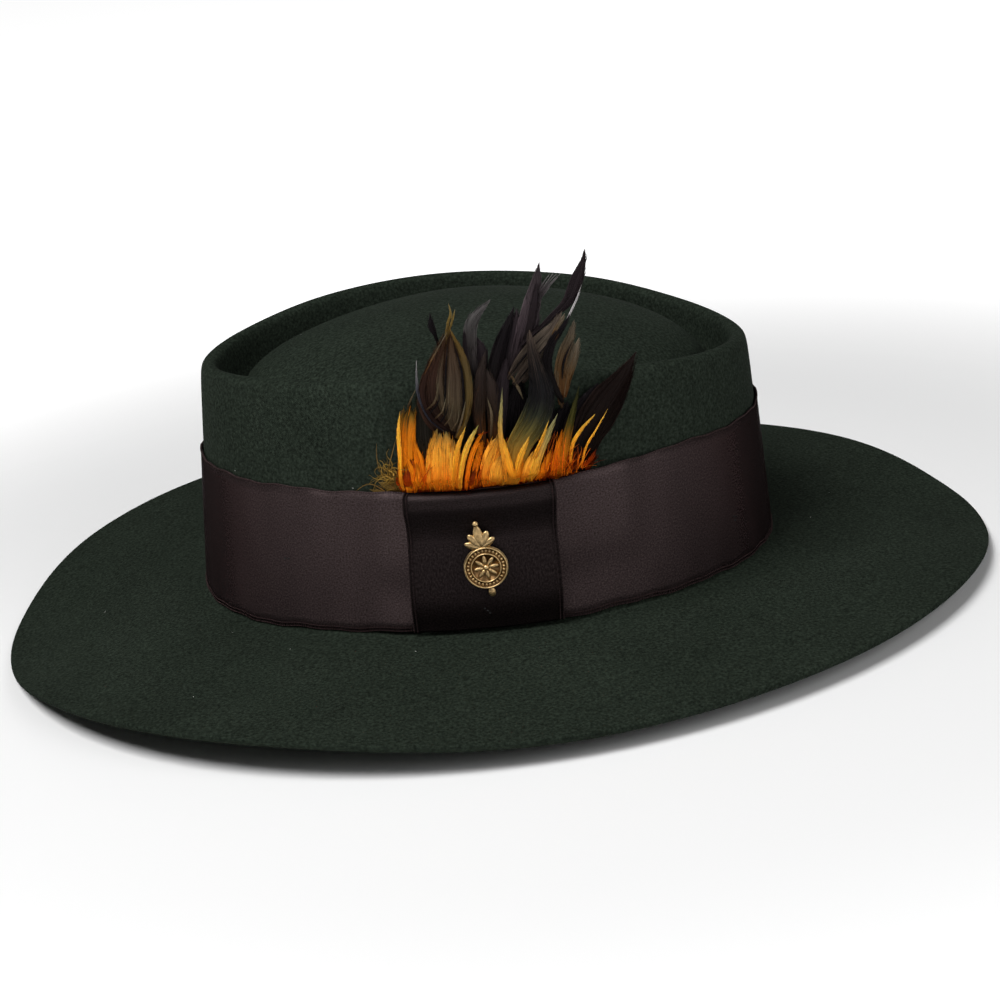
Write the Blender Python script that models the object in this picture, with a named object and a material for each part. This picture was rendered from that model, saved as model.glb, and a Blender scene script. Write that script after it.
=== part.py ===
"""A wide-brimmed felt hat with a telescope crown, a satin ribbon band, a ribbon keeper, a plume and a badge.

Units are metres and Z is up. The hat stands on the front and back tips of its brim. X runs from the
front of the hat (-X) to its back (+X), and the trim is on the side at -Y. The origin is on the floor, under
the brim's middle. Angles go round the hat from its back: 90 degrees is the plain side, 180 the front and
270 the trimmed side.
"""

import math
from collections import namedtuple
from functools import lru_cache

import bmesh
import bpy
import numpy as np
from mathutils import Matrix, Vector

# Felt body
FELT = 0.0022
CROWN_LENGTH = 0.2053
CROWN_WIDTH = 0.1688
CROWN_HEIGHT = 0.084
BRIM_FRONT = 0.073
BRIM_BACK = 0.078
BRIM_SIDE = 0.0764
BREAK_HEIGHT = 0.0149
BREAK_RADIUS = 0.002
EDGE_RISE = 0.0136
BRIM_CURVE = 1.35
FRONT_LEAN = 0.0088
BACK_LEAN = 0.0031
SIDE_LEAN = 0.0004
FOLD_RADIUS = 0.0033
VALLEY_INSET = 0.009
VALLEY_DEPTH = 0.015
DOME_RISE = 0.0048
DOME_SHIFT = -0.007
DOME_ROUNDNESS = 2.1

# Ribbon band
RIBBON_WIDTH = 0.049
RIBBON_THICKNESS = 0.001
FIT_GAP = 0.0003
BAND_SEAT = 0.0016

# Ribbon keeper
KEEPER_WIDTH = 0.0475
KEEPER_PLACE = -0.0103
KEEPER_PUFF = 0.0026

# Feather plume
PLUME_PLACE = -0.003
PLUME_WIDTH = 0.064
PLUME_HEIGHT = 0.072
PLUME_BACKING = 0.001
PLUME_TUCK = 0.016
PLUME_SHOW = 0.003
PLUME_LAYER = 0.006
PLUME_SPREAD = 0.012
BLADE_WIDTH = 0.013
BLADE_THICKNESS = 0.0008
BLADE_ROOT = 0.004
BLADE_CUP = 0.0007
POCKET_MARGIN = 0.006
POCKET_EASE = 0.014

# Badge
BADGE_PLACE = -0.0098
BADGE_HEIGHT = 0.0222
BADGE_RADIUS = 0.0072
BADGE_THICKNESS = 0.0008
BADGE_RELIEF = 0.0008
BADGE_TILT = math.radians(9.5)
PETALS = 8
PETAL_LENGTH = 0.0032
PETAL_WIDTH = 0.0015
BOSS_RADIUS = 0.0011
LEAF_LENGTH = 0.0078
LEAF_WIDTH = 0.0032
KNOB_RADIUS = 0.001
DROP_LENGTH = 0.0034
DROP_WIDTH = 0.0024

# How finely the surfaces are divided. Angles are in degrees.
SEGMENTS = 64
BAND_ROWS = 4
KEEPER_COLUMNS = 8
BACKING_COLUMNS = 10
BACKING_ROWS = 2
BLADE_COLUMNS = 2
BADGE_STEPS = 28
PEBBLE_SIDES = 8
PEBBLE_RINGS = 5
ANGLE_STEP = 0.5
SHARP_ANGLE = 40
WELD = 1e-6

# The trim's side and how far to each side of it the trim may reach, in degrees
TRIM_SIDE = 270
TRIM_SPAN = 70

# Colours are linear red, green and blue.
Finish = namedtuple("Finish", "color roughness metallic")
GREEN_FELT = Finish(color=(0.016, 0.022, 0.015), roughness=0.95, metallic=0.0)
BROWN_SATIN = Finish(color=(0.028, 0.022, 0.022), roughness=0.5, metallic=0.0)
KEEPER_SATIN = Finish(color=(0.02, 0.016, 0.017), roughness=0.45, metallic=0.0)
FEATHER = Finish(color=(0.12, 0.05, 0.015), roughness=0.6, metallic=0.0)
BRASS = Finish(color=(0.55, 0.36, 0.14), roughness=0.35, metallic=1.0)

# The hat by stations round it, from the back to the front. Both sides are alike. brim_full and rim_full are
# the width of the outline there as a share of a plain ellipse's. edge, foot, crown and ribbon are heights, as
# shares of EDGE_RISE, BREAK_HEIGHT, CROWN_HEIGHT and RIBBON_WIDTH.
Station = namedtuple("Station", "brim_full edge foot rim_full crown ribbon")
STATION_STEP = 30
STATIONS = (
    Station(brim_full=0.943, edge=0.07, foot=0.62, rim_full=0.92, crown=0.874, ribbon=1.0),
    Station(brim_full=0.953, edge=0.60, foot=0.68, rim_full=0.95, crown=0.901, ribbon=0.995),
    Station(brim_full=0.974, edge=0.62, foot=0.80, rim_full=0.998, crown=0.960, ribbon=1.02),
    Station(brim_full=1.0, edge=0.62, foot=0.92, rim_full=1.0, crown=1.0, ribbon=0.97),
    Station(brim_full=1.018, edge=1.0, foot=0.97, rim_full=0.93, crown=1.003, ribbon=0.965),
    Station(brim_full=1.035, edge=0.75, foot=0.89, rim_full=0.83, crown=0.994, ribbon=0.99),
    Station(brim_full=1.042, edge=0.07, foot=0.93, rim_full=0.78, crown=0.970, ribbon=1.0),
)

# The inner wall of the rim, from the fold down to the valley: shares of VALLEY_INSET and VALLEY_DEPTH.
WallFold = namedtuple("WallFold", "inset drop")
INNER_WALL = (WallFold(0.42, 0.45), WallFold(0.5, 0.8), WallFold(0.68, 1.0), WallFold(0.88, 1.04))

FOLD_ANGLES = (180, 135, 90, 50, 15)
DOME_SHARES = (1.0, 0.975, 0.9, 0.77, 0.57, 0.3, 0.0)
WALL_SHARES = (0.0, 0.5)
BRIM_SHARES = (1.0, 0.965, 0.72, 0.45, 0.2)

# The keeper's front from its rolled top to its foot. height is a share of RIBBON_WIDTH, puff of KEEPER_PUFF.
KeeperFold = namedtuple("KeeperFold", "height puff")
PANEL_PUFF = 0.45
KEEPER_FOLDS = (
    KeeperFold(0.985, 0.6),
    KeeperFold(0.94, 1.0),
    KeeperFold(0.87, 0.85),
    KeeperFold(0.79, 0.45),
    KeeperFold(0.68, 0.3),
    KeeperFold(0.45, PANEL_PUFF),
    KeeperFold(0.2, PANEL_PUFF),
    KeeperFold(0.07, 0.2),
    KeeperFold(0.01, 0.0),
)

# The plume's strips, back ones first. root and tip are places across the plume from its middle. bow is how
# far the strip's middle bends sideways, and sway how far its lower half bends that way and its upper half the
# other. All four are shares of PLUME_WIDTH. rise is a share of PLUME_HEIGHT, width of BLADE_WIDTH and layer
# of PLUME_LAYER.
Blade = namedtuple("Blade", "root tip rise width bow sway layer")
BLADES = (
    Blade(root=-0.22, tip=-0.185, rise=0.8, width=0.35, bow=0.0, sway=0.0, layer=0.1),
    Blade(root=-0.03, tip=0.02, rise=0.83, width=0.6, bow=-0.04, sway=0.07, layer=0.2),
    Blade(root=0.08, tip=0.27, rise=0.97, width=0.75, bow=-0.02, sway=0.0, layer=0.15),
    Blade(root=-0.03, tip=0.125, rise=0.8, width=0.65, bow=-0.07, sway=0.0, layer=0.35),
    Blade(root=-0.03, tip=0.5, rise=1.0, width=0.85, bow=-0.1, sway=-0.06, layer=0.6),
    Blade(root=0.27, tip=0.37, rise=0.79, width=0.8, bow=0.03, sway=0.0, layer=0.4),
    Blade(root=-0.23, tip=-0.195, rise=0.7, width=1.1, bow=-0.02, sway=0.0, layer=0.7),
    Blade(root=-0.28, tip=-0.36, rise=0.57, width=0.6, bow=-0.02, sway=0.0, layer=0.5),
    Blade(root=-0.06, tip=-0.03, rise=0.61, width=0.6, bow=-0.02, sway=0.0, layer=0.8),
    Blade(root=0.04, tip=0.19, rise=0.68, width=1.0, bow=0.05, sway=0.0, layer=0.9),
    Blade(root=0.36, tip=0.75, rise=0.52, width=0.95, bow=-0.04, sway=0.0, layer=0.3),
    Blade(root=0.29, tip=0.42, rise=0.41, width=0.35, bow=0.0, sway=0.0, layer=0.7),
    Blade(root=-0.44, tip=-0.44, rise=0.38, width=0.5, bow=-0.03, sway=0.0, layer=0.4),
    Blade(root=-0.32, tip=-0.27, rise=0.26, width=0.8, bow=0.0, sway=0.0, layer=1.0),
    Blade(root=-0.18, tip=-0.1, rise=0.28, width=0.5, bow=0.0, sway=0.0, layer=1.0),
    Blade(root=0.14, tip=0.3, rise=0.3, width=0.5, bow=0.0, sway=0.0, layer=1.0),
    Blade(root=0.33, tip=0.53, rise=0.26, width=0.5, bow=-0.02, sway=0.0, layer=0.6),
)
# A strip's outline above the band: shares of its own free length and width.
BladeRow = namedtuple("BladeRow", "rise width")
BLADE_FOOT_WIDTH = 0.4
BLADE_OUTLINE = (
    BladeRow(rise=0.0, width=0.5),
    BladeRow(rise=0.22, width=0.8),
    BladeRow(rise=0.5, width=1.0),
    BladeRow(rise=0.77, width=0.66),
    BladeRow(rise=1.0, width=0.08),
)

# The badge's raised rings, as shares of its radius and relief, and the leaves that stand on its top edge.
Ring = namedtuple("Ring", "middle width height")
BADGE_RINGS = (Ring(middle=0.88, width=0.22, height=1.0), Ring(middle=0.64, width=0.1, height=0.6))
Leaf = namedtuple("Leaf", "turn length width")
LEAVES = (
    Leaf(turn=-62, length=0.72, width=0.75),
    Leaf(turn=62, length=0.72, width=0.75),
    Leaf(turn=-31, length=0.8, width=0.85),
    Leaf(turn=31, length=0.8, width=0.85),
    Leaf(turn=0, length=1.0, width=1.0),
)


def station_value(column, angle):
    """A column of STATIONS at any angle, as a smooth curve that is level at the back and the front."""
    last = len(STATIONS) - 1
    place = abs((angle + 180) % 360 - 180) / STATION_STEP
    start = min(int(place), last - 1)
    share = place - start
    rows = [last - abs(last - abs(start + step)) for step in (-1, 0, 1, 2)]
    before, here, there, after = (getattr(STATIONS[row], column) for row in rows)
    bend = 2 * before - 5 * here + 4 * there - after
    twist = 3 * (here - there) + after - before
    return here + 0.5 * share * (there - before + share * (bend + share * twist))


def ellipse_point(middle, half_length, half_width, angle):
    turn = math.radians(angle)
    return Vector((middle + half_length * math.cos(turn), half_width * math.sin(turn), 0))


def brim_edge(angle):
    """The top of the brim's cut edge."""
    half_length = (CROWN_LENGTH + BRIM_FRONT + BRIM_BACK) / 2
    half_width = (CROWN_WIDTH / 2 + BRIM_SIDE) * station_value("brim_full", angle)
    point = ellipse_point(0, half_length, half_width, angle)
    point.z = EDGE_RISE * station_value("edge", angle)
    return point


def crown_foot(angle):
    """Where the crown's outer wall would meet the brim's top, without the rounding between them."""
    point = ellipse_point((BRIM_FRONT - BRIM_BACK) / 2, CROWN_LENGTH / 2, CROWN_WIDTH / 2, angle)
    point.z = BREAK_HEIGHT * station_value("foot", angle)
    return point


def rim_side(angle):
    """The top of the crown's outer wall, level with the middle of the rounded rim."""
    middle = (BRIM_FRONT - BRIM_BACK + FRONT_LEAN - BACK_LEAN) / 2
    half_length = (CROWN_LENGTH - FRONT_LEAN - BACK_LEAN) / 2
    half_width = (CROWN_WIDTH / 2 - SIDE_LEAN) * station_value("rim_full", angle)
    point = ellipse_point(middle, half_length, half_width, angle)
    point.z = rim_top(angle) - FOLD_RADIUS
    return point


def rim_top(angle):
    return crown_foot(angle).z + CROWN_HEIGHT * station_value("crown", angle)


def dome_apex():
    return Vector((DOME_SHIFT, 0, BREAK_HEIGHT + CROWN_HEIGHT + DOME_RISE))


def inward(angle):
    """The level direction from the rim towards the dome's highest point."""
    way = dome_apex() - rim_side(angle)
    way.z = 0
    return way.normalized()


def valley(angle):
    """The bottom of the moat between the rim and the dome."""
    point = rim_side(angle) + inward(angle) * (FOLD_RADIUS + VALLEY_INSET)
    point.z = rim_top(angle) - VALLEY_DEPTH
    return point


def dome_points(angle):
    apex = dome_apex()
    rim_of_dome = valley(angle)
    points = []
    for share in DOME_SHARES:
        point = apex.lerp(rim_of_dome, share)
        fall = 1 - math.sqrt(1 - share**DOME_ROUNDNESS)
        point.z = apex.z + (rim_of_dome.z - apex.z) * fall
        points.append(point)
    return points


def inner_wall_points(angle):
    middle = rim_side(angle) + inward(angle) * FOLD_RADIUS
    points = []
    for row in INNER_WALL:
        point = middle + inward(angle) * VALLEY_INSET * row.inset
        point.z = rim_top(angle) - VALLEY_DEPTH * row.drop
        points.append(point)
    return points


def fold_points(angle):
    middle = rim_side(angle) + inward(angle) * FOLD_RADIUS
    points = []
    for turn in FOLD_ANGLES:
        across = inward(angle) * FOLD_RADIUS * math.cos(math.radians(turn))
        upwards = Vector((0, 0, FOLD_RADIUS * math.sin(math.radians(turn))))
        points.append(middle + across + upwards)
    return points


def wall_points(angle):
    """The crown's outer wall, from the rounding at its foot to below the rim."""
    bottom = wall_plan(angle, BREAK_RADIUS)
    return [bottom.lerp(rim_side(angle), share) for share in WALL_SHARES]


def brim_top(angle, share):
    """The top of the brim at a share of the way from the crown's foot to the edge, never under the floor."""
    foot = crown_foot(angle)
    edge = brim_edge(angle)
    point = foot.lerp(edge, share)
    point.z = max(foot.z + (edge.z - foot.z) * share**BRIM_CURVE, FELT)
    return point


def brim_points(angle):
    width = (brim_edge(angle) - crown_foot(angle)).length
    start = BREAK_RADIUS / width
    corner = brim_top(angle, start * (1 - math.sqrt(0.5)))
    corner.z += BREAK_RADIUS * (1 - math.sqrt(0.5))
    return [brim_top(angle, share) for share in BRIM_SHARES] + [brim_top(angle, start), corner]


def felt_section(angle):
    """The top surface of the felt at one angle, from the brim's edge to the dome's highest point."""
    outside = brim_points(angle) + wall_points(angle)
    return outside + fold_points(angle) + inner_wall_points(angle) + dome_points(angle)


def wall_plan(angle, height):
    """A point of the crown's outer wall, at a height above its foot."""
    foot = crown_foot(angle)
    top = rim_side(angle)
    return foot.lerp(top, height / (top.z - foot.z))


def wall_normal(angle, height):
    along = wall_plan(angle + ANGLE_STEP, height) - wall_plan(angle - ANGLE_STEP, height)
    upwards = rim_side(angle) - crown_foot(angle)
    return along.cross(upwards).normalized()


def wall_point(angle, height, offset=0.0):
    """A point that far outside the crown's outer wall."""
    return wall_plan(angle, height) + wall_normal(angle, height) * offset


@lru_cache(maxsize=None)
def trim_arc():
    """Angles of the trimmed side, and how far round the wall each lies from the middle of that side."""
    angles = TRIM_SIDE + np.arange(-TRIM_SPAN, TRIM_SPAN + ANGLE_STEP, ANGLE_STEP)
    height = BAND_SEAT + RIBBON_WIDTH / 2
    points = [wall_plan(angle, height) for angle in angles]
    steps = [0.0] + [(after - before).length for before, after in zip(points, points[1:])]
    lengths = np.cumsum(steps)
    return angles, lengths - np.interp(TRIM_SIDE, angles, lengths)


def trim_angle(distance):
    angles, lengths = trim_arc()
    return float(np.interp(distance, lengths, angles))


def trim_distance(angle):
    angles, lengths = trim_arc()
    return float(np.interp(angle % 360, angles, lengths))


def ease(share):
    """A smooth step from 0 to 1."""
    share = min(max(share, 0.0), 1.0)
    return share * share * (3 - 2 * share)


def band_top(angle):
    return BAND_SEAT + RIBBON_WIDTH * station_value("ribbon", angle)


def backing_foot(distance):
    """The lower edge of the plume's backing, which is tucked in behind the band."""
    return band_top(trim_angle(distance)) - PLUME_TUCK


def band_offset(distance, height):
    """How far the band's inner face stands off the felt: it makes room for the plume's backing."""
    past_side = abs(distance - PLUME_PLACE) - PLUME_WIDTH / 2 - POCKET_MARGIN
    past_bottom = backing_foot(distance) - POCKET_MARGIN - height
    room = (1 - ease(past_side / POCKET_EASE)) * (1 - ease(past_bottom / POCKET_EASE))
    return FIT_GAP + room * (PLUME_BACKING + FIT_GAP)


def keeper_back(distance, height, puff):
    """How far the keeper's inner face stands off the felt."""
    return band_offset(distance, height) + RIBBON_THICKNESS + FIT_GAP + KEEPER_PUFF * puff


def sheet(columns, rows, place):
    """A grid wrapped by place(column share, row share), with the points that meet joined."""
    mesh = bmesh.new()
    bmesh.ops.create_grid(mesh, x_segments=columns, y_segments=rows, size=1)
    for vert in mesh.verts:
        vert.co = place((vert.co.x + 1) / 2, (vert.co.y + 1) / 2)
    bmesh.ops.remove_doubles(mesh, verts=mesh.verts, dist=WELD)
    return mesh


def thicken(mesh, thickness):
    bmesh.ops.solidify(mesh, geom=mesh.faces, thickness=thickness)
    bmesh.ops.recalc_face_normals(mesh, faces=mesh.faces)


def make_material(name, finish):
    material = bpy.data.materials.new(name)
    material.use_nodes = True
    shader = material.node_tree.nodes["Principled BSDF"]
    shader.inputs["Base Color"].default_value = (*finish.color, 1)
    shader.inputs["Roughness"].default_value = finish.roughness
    shader.inputs["Metallic"].default_value = finish.metallic
    material.diffuse_color = (*finish.color, 1)
    return material


def add_object(name, mesh, finish):
    data = bpy.data.meshes.new(name)
    mesh.to_mesh(data)
    mesh.free()
    data.materials.append(make_material(name, finish))
    data.shade_smooth()
    data.set_sharp_from_angle(angle=math.radians(SHARP_ANGLE))
    thing = bpy.data.objects.new(name, data)
    bpy.context.scene.collection.objects.link(thing)
    return thing


def add_felt_body():
    sections = [felt_section(360 * segment / SEGMENTS) for segment in range(SEGMENTS)]
    rings = len(sections[0]) - 1

    def place(column, row):
        return sections[round(column * SEGMENTS) % SEGMENTS][round(row * rings)]

    mesh = sheet(SEGMENTS, rings, place)
    thicken(mesh, FELT)
    for vert in mesh.verts:
        vert.co.z = max(vert.co.z, 0)
    return add_object("felt_body", mesh, GREEN_FELT)


def add_ribbon_band():
    def place(column, row):
        angle = 360 * column
        height = BAND_SEAT + (band_top(angle) - BAND_SEAT) * row
        return wall_point(angle, height, band_offset(trim_distance(angle), height))

    mesh = sheet(SEGMENTS, BAND_ROWS, place)
    thicken(mesh, -RIBBON_THICKNESS)
    return add_object("ribbon_band", mesh, BROWN_SATIN)


def keeper_path(distance):
    """The keeper's inner face at one place along the wall, as (height, offset) from its lip to its foot."""
    top = band_top(trim_angle(distance))
    lip = top + FIT_GAP
    inner = band_offset(distance, top)
    path = [(lip, inner), (lip, inner + RIBBON_THICKNESS)]
    for fold in KEEPER_FOLDS:
        height = BAND_SEAT + (top - BAND_SEAT) * fold.height
        path.append((height, keeper_back(distance, height, fold.puff)))
    return path


def add_ribbon_keeper():
    rows = len(KEEPER_FOLDS) + 1

    def place(column, row):
        distance = KEEPER_PLACE + KEEPER_WIDTH * (column - 0.5)
        height, offset = keeper_path(distance)[round(row * rows)]
        return wall_point(trim_angle(distance), height, offset)

    mesh = sheet(KEEPER_COLUMNS, rows, place)
    thicken(mesh, RIBBON_THICKNESS)
    return add_object("ribbon_keeper", mesh, KEEPER_SATIN)


def backing_mesh():
    def place(column, row):
        distance = PLUME_PLACE + PLUME_WIDTH * (column - 0.5)
        height = backing_foot(distance) + (PLUME_TUCK + PLUME_SHOW) * row
        return wall_point(trim_angle(distance), height, FIT_GAP)

    mesh = sheet(BACKING_COLUMNS, BACKING_ROWS, place)
    thicken(mesh, -PLUME_BACKING)
    return mesh


def blade_mesh(blade):
    """One strip of the plume, rooted in the backing. Above the band it swells out to its own layer."""
    root = PLUME_PLACE + PLUME_WIDTH * blade.root
    tip = PLUME_PLACE + PLUME_WIDTH * blade.tip
    length = PLUME_HEIGHT * blade.rise
    level = band_top(trim_angle(root))
    root_offset = FIT_GAP + (PLUME_BACKING - BLADE_THICKNESS) / 2
    rows = [(-BLADE_ROOT, BLADE_FOOT_WIDTH)]
    rows += [(PLUME_SHOW + (length - PLUME_SHOW) * row.rise, row.width) for row in BLADE_OUTLINE]

    def spine(rise):
        share = (rise + BLADE_ROOT) / (length + BLADE_ROOT)
        bend = 4 * blade.bow * share * (1 - share) + blade.sway * math.sin(math.tau * share)
        return Vector((root + (tip - root) * share + PLUME_WIDTH * bend, level + rise))

    def place(column, row):
        rise, width = rows[round(row * (len(rows) - 1))]
        along = (spine(rise + WELD) - spine(rise - WELD)).normalized()
        half = BLADE_WIDTH * blade.width * width / 2
        point = spine(rise) + Vector((along.y, -along.x)) * half * (2 * column - 1)
        lift = ease((point.y - band_top(trim_angle(point.x)) - PLUME_SHOW) / PLUME_SPREAD)
        cup = BLADE_CUP * (1 - abs(2 * column - 1))
        offset = root_offset + lift * (PLUME_LAYER * blade.layer + cup)
        return wall_point(trim_angle(point.x), point.y, offset)

    mesh = sheet(BLADE_COLUMNS, len(rows) - 1, place)
    thicken(mesh, -BLADE_THICKNESS)
    return mesh


def joined(meshes):
    """One mesh that holds all of these."""
    whole = bmesh.new()
    for mesh in meshes:
        part = bpy.data.meshes.new("piece")
        mesh.to_mesh(part)
        mesh.free()
        whole.from_mesh(part)
        bpy.data.meshes.remove(part)
    return whole


def fuse(base, extras_mesh, finish):
    """Fuses the extra shapes, which may cross each other, to the base."""
    extras = add_object(base.name + "_extras", extras_mesh, finish)
    extras.hide_render = True
    extras.hide_set(True)
    extras.display_type = "WIRE"
    union = base.modifiers.new("fused", "BOOLEAN")
    union.operation = "UNION"
    union.object = extras
    union.use_self = True
    return extras


def add_feather_plume():
    plume = add_object("feather_plume", backing_mesh(), FEATHER)
    fuse(plume, joined([blade_mesh(blade) for blade in BLADES]), FEATHER)
    return plume


def badge_frame():
    """The badge's place: its middle on the keeper, X across, Y up along its tilt and Z straight out."""
    angle = trim_angle(BADGE_PLACE)
    height = BAND_SEAT + BADGE_HEIGHT
    offset = keeper_back(BADGE_PLACE, band_top(angle), PANEL_PUFF) + RIBBON_THICKNESS + FIT_GAP
    out = wall_normal(angle, height)
    upwards = (rim_side(angle) - crown_foot(angle)).normalized()
    across = upwards.cross(out).normalized()
    place = Matrix.Translation(wall_point(angle, height, offset))
    facing = Matrix((across, out.cross(across), out)).transposed().to_4x4()
    return place @ facing @ Matrix.Rotation(BADGE_TILT, 4, "Z")


def disc_mesh():
    """The badge's round field with its two raised rings, turned from a profile."""
    profile = [(0, 0), (BADGE_RADIUS, 0), (BADGE_RADIUS, BADGE_THICKNESS)]
    for ring in BADGE_RINGS:
        middle = BADGE_RADIUS * ring.middle
        half = BADGE_RADIUS * ring.width / 2
        top = BADGE_THICKNESS + BADGE_RELIEF * ring.height
        profile += [(middle + half, BADGE_THICKNESS), (middle + half / 2, top)]
        profile += [(middle - half / 2, top), (middle - half, BADGE_THICKNESS)]
    profile.append((0, BADGE_THICKNESS))
    mesh = bmesh.new()
    verts = [mesh.verts.new((radius, 0, height)) for radius, height in profile]
    edges = [mesh.edges.new(pair) for pair in zip(verts, verts[1:])]
    turning = {"axis": (0, 0, 1), "cent": (0, 0, 0), "angle": math.tau, "steps": BADGE_STEPS}
    bmesh.ops.spin(mesh, geom=verts + edges, use_duplicate=False, **turning)
    bmesh.ops.remove_doubles(mesh, verts=mesh.verts, dist=WELD)
    bmesh.ops.recalc_face_normals(mesh, faces=mesh.faces)
    return mesh


def pebble(width, length, height, middle_height, start=0.0, turn=0.0, root=(0, 0, 0)):
    """A smooth lump that begins at start from its root and points up the badge, or is turned from there."""
    mesh = bmesh.new()
    bmesh.ops.create_uvsphere(mesh, u_segments=PEBBLE_SIDES, v_segments=PEBBLE_RINGS, radius=0.5)
    shape = Matrix.Diagonal((width, length, height, 1))
    placed = Matrix.Translation((0, start + length / 2, middle_height)) @ shape
    turned = Matrix.Translation(root) @ Matrix.Rotation(turn, 4, "Z") @ placed
    bmesh.ops.transform(mesh, matrix=turned, verts=mesh.verts)
    return mesh


def badge_extras():
    full = BADGE_THICKNESS + BADGE_RELIEF
    edge = BADGE_RADIUS * BADGE_RINGS[0].middle
    shapes = [pebble(2 * BOSS_RADIUS, 2 * BOSS_RADIUS, 2 * BADGE_RELIEF, BADGE_THICKNESS, -BOSS_RADIUS)]
    for petal in range(PETALS):
        turn = math.tau * petal / PETALS
        shapes.append(pebble(PETAL_WIDTH, PETAL_LENGTH, BADGE_RELIEF, BADGE_THICKNESS, BOSS_RADIUS / 2, turn))
    for leaf in LEAVES:
        width = LEAF_WIDTH * leaf.width
        length = LEAF_LENGTH * leaf.length
        shapes.append(pebble(width, length, full, full / 2, 0, math.radians(leaf.turn), (0, edge, 0)))
    tip = edge + LEAF_LENGTH - KNOB_RADIUS / 2
    shapes.append(pebble(2 * KNOB_RADIUS, 2 * KNOB_RADIUS, full, full / 2, tip))
    shapes.append(pebble(DROP_WIDTH, DROP_LENGTH, full, full / 2, edge, math.pi))
    return joined(shapes)


def add_badge():
    badge = add_object("badge", disc_mesh(), BRASS)
    extras = fuse(badge, badge_extras(), BRASS)
    badge.matrix_world = badge_frame()
    extras.matrix_world = badge_frame()
    return badge


def clear_scene():
    for thing in list(bpy.data.objects):
        bpy.data.objects.remove(thing)


def main():
    clear_scene()
    add_felt_body()
    add_ribbon_band()
    add_ribbon_keeper()
    add_feather_plume()
    add_badge()


if __name__ == "__main__":
    main()
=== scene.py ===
"""Looks for a wide-brimmed felt hat with a telescope crown, a ribbon band, a keeper, a plume and a badge.

Units are metres and Z is up. X runs from the hat's front (-X) to its back (+X), and the trim is on the side
at -Y. Angles go round the hat in degrees from its back: 180 is the front and 270 the trimmed side. Wall
places are (along, height, offset): metres round the crown's wall from the middle of the trimmed side, metres
above the crown's foot, and metres outside the wall.
"""

import math
from collections import namedtuple
from functools import cache

import bmesh
import bpy
import numpy as np
from bpy.props import FloatProperty, FloatVectorProperty, IntProperty, PointerProperty
from mathutils import Matrix, Vector


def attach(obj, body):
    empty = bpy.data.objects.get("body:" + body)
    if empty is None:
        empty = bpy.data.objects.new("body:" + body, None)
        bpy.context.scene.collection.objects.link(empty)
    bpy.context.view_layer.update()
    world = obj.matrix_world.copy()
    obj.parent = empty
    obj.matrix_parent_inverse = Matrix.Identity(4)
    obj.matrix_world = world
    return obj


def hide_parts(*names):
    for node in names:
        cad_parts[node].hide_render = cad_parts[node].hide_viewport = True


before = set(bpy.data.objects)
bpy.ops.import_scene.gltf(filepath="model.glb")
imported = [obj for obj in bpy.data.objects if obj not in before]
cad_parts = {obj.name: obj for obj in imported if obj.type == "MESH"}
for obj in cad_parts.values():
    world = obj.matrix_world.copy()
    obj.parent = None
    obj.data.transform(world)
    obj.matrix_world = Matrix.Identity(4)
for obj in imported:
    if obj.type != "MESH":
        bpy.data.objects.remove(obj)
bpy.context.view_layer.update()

bl_info = {
    "name": "Felt hat with ribbon and plume",
    "version": (1, 0, 0),
    "blender": (4, 5, 0),
    "location": "3D View > Sidebar > Hat",
    "description": "Builds a telescope-crown felt hat, its ribbon, keeper, feather plume and badge",
    "category": "Add Mesh",
}

BODY = "root"

# Felt body
FELT = 0.0022
CROWN_LENGTH = 0.2053
CROWN_WIDTH = 0.1688
CROWN_HEIGHT = 0.084
BRIM_FRONT = 0.073
BRIM_BACK = 0.078
BRIM_SIDE = 0.0764
BREAK_HEIGHT = 0.0149
BREAK_RADIUS = 0.002
EDGE_RISE = 0.0136
BRIM_CURVE = 1.35
FRONT_LEAN = 0.0088
BACK_LEAN = 0.0031
SIDE_LEAN = 0.0004
FOLD_RADIUS = 0.0033
VALLEY_INSET = 0.009
VALLEY_DEPTH = 0.015
DOME_RISE = 0.0048
DOME_SHIFT = -0.007
DOME_ROUNDNESS = 2.1

# Ribbon band. Beside the keeper it flares at its foot, and the keeper draws it in and up a little.
RIBBON_WIDTH = 0.049
RIBBON_THICKNESS = 0.001
CLOTH = 0.0006
FIT_GAP = 0.0003
BAND_SEAT = 0.0016
BAND_FLARE = 0.0011
FLARE_REACH = 0.02
FLARE_RISE = 0.3
BAND_PULL = 0.002
PULL_REACH = 0.002

# Ribbon keeper
KEEPER_WIDTH = 0.0475
KEEPER_PLACE = -0.0103
KEEPER_PUFF = 0.0026
KEEPER_FLAT = 0.056

# The loops along the ribbons' edges. A loop's radius is a share of the distance between loops. The band's
# rows are shares of its width, and the keeper's are distances in from its sides.
LOOP_RADIUS = 0.34
LOOP_TONE = (0.75, 0.6, 0.6)
BAND_PICOTS = (0.004, 0.026, 0.996)
KEEPER_PICOTS = (0.0002, 0.0012)

# Hand stitches: on the band, places along the wall and above the crown's foot; on the keeper, places along
# the wall and shares of the way down it. A knot's middle lies its rise times CLOTH outside the face under it.
TACKS = ((-0.0804, 0.025), (-0.0789, 0.025), (0.0866, 0.0187), (0.088, 0.0183), (0.0872, 0.0172))
KEEPER_TACKS = ((-0.0112, 0.83), (-0.0103, 0.845), (-0.0097, 0.86))
KNOT = (0.00042, 0.0003, 0.00032)
BAND_KNOT_RISE = 1.2
KEEPER_KNOT_RISE = 0.8

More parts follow.
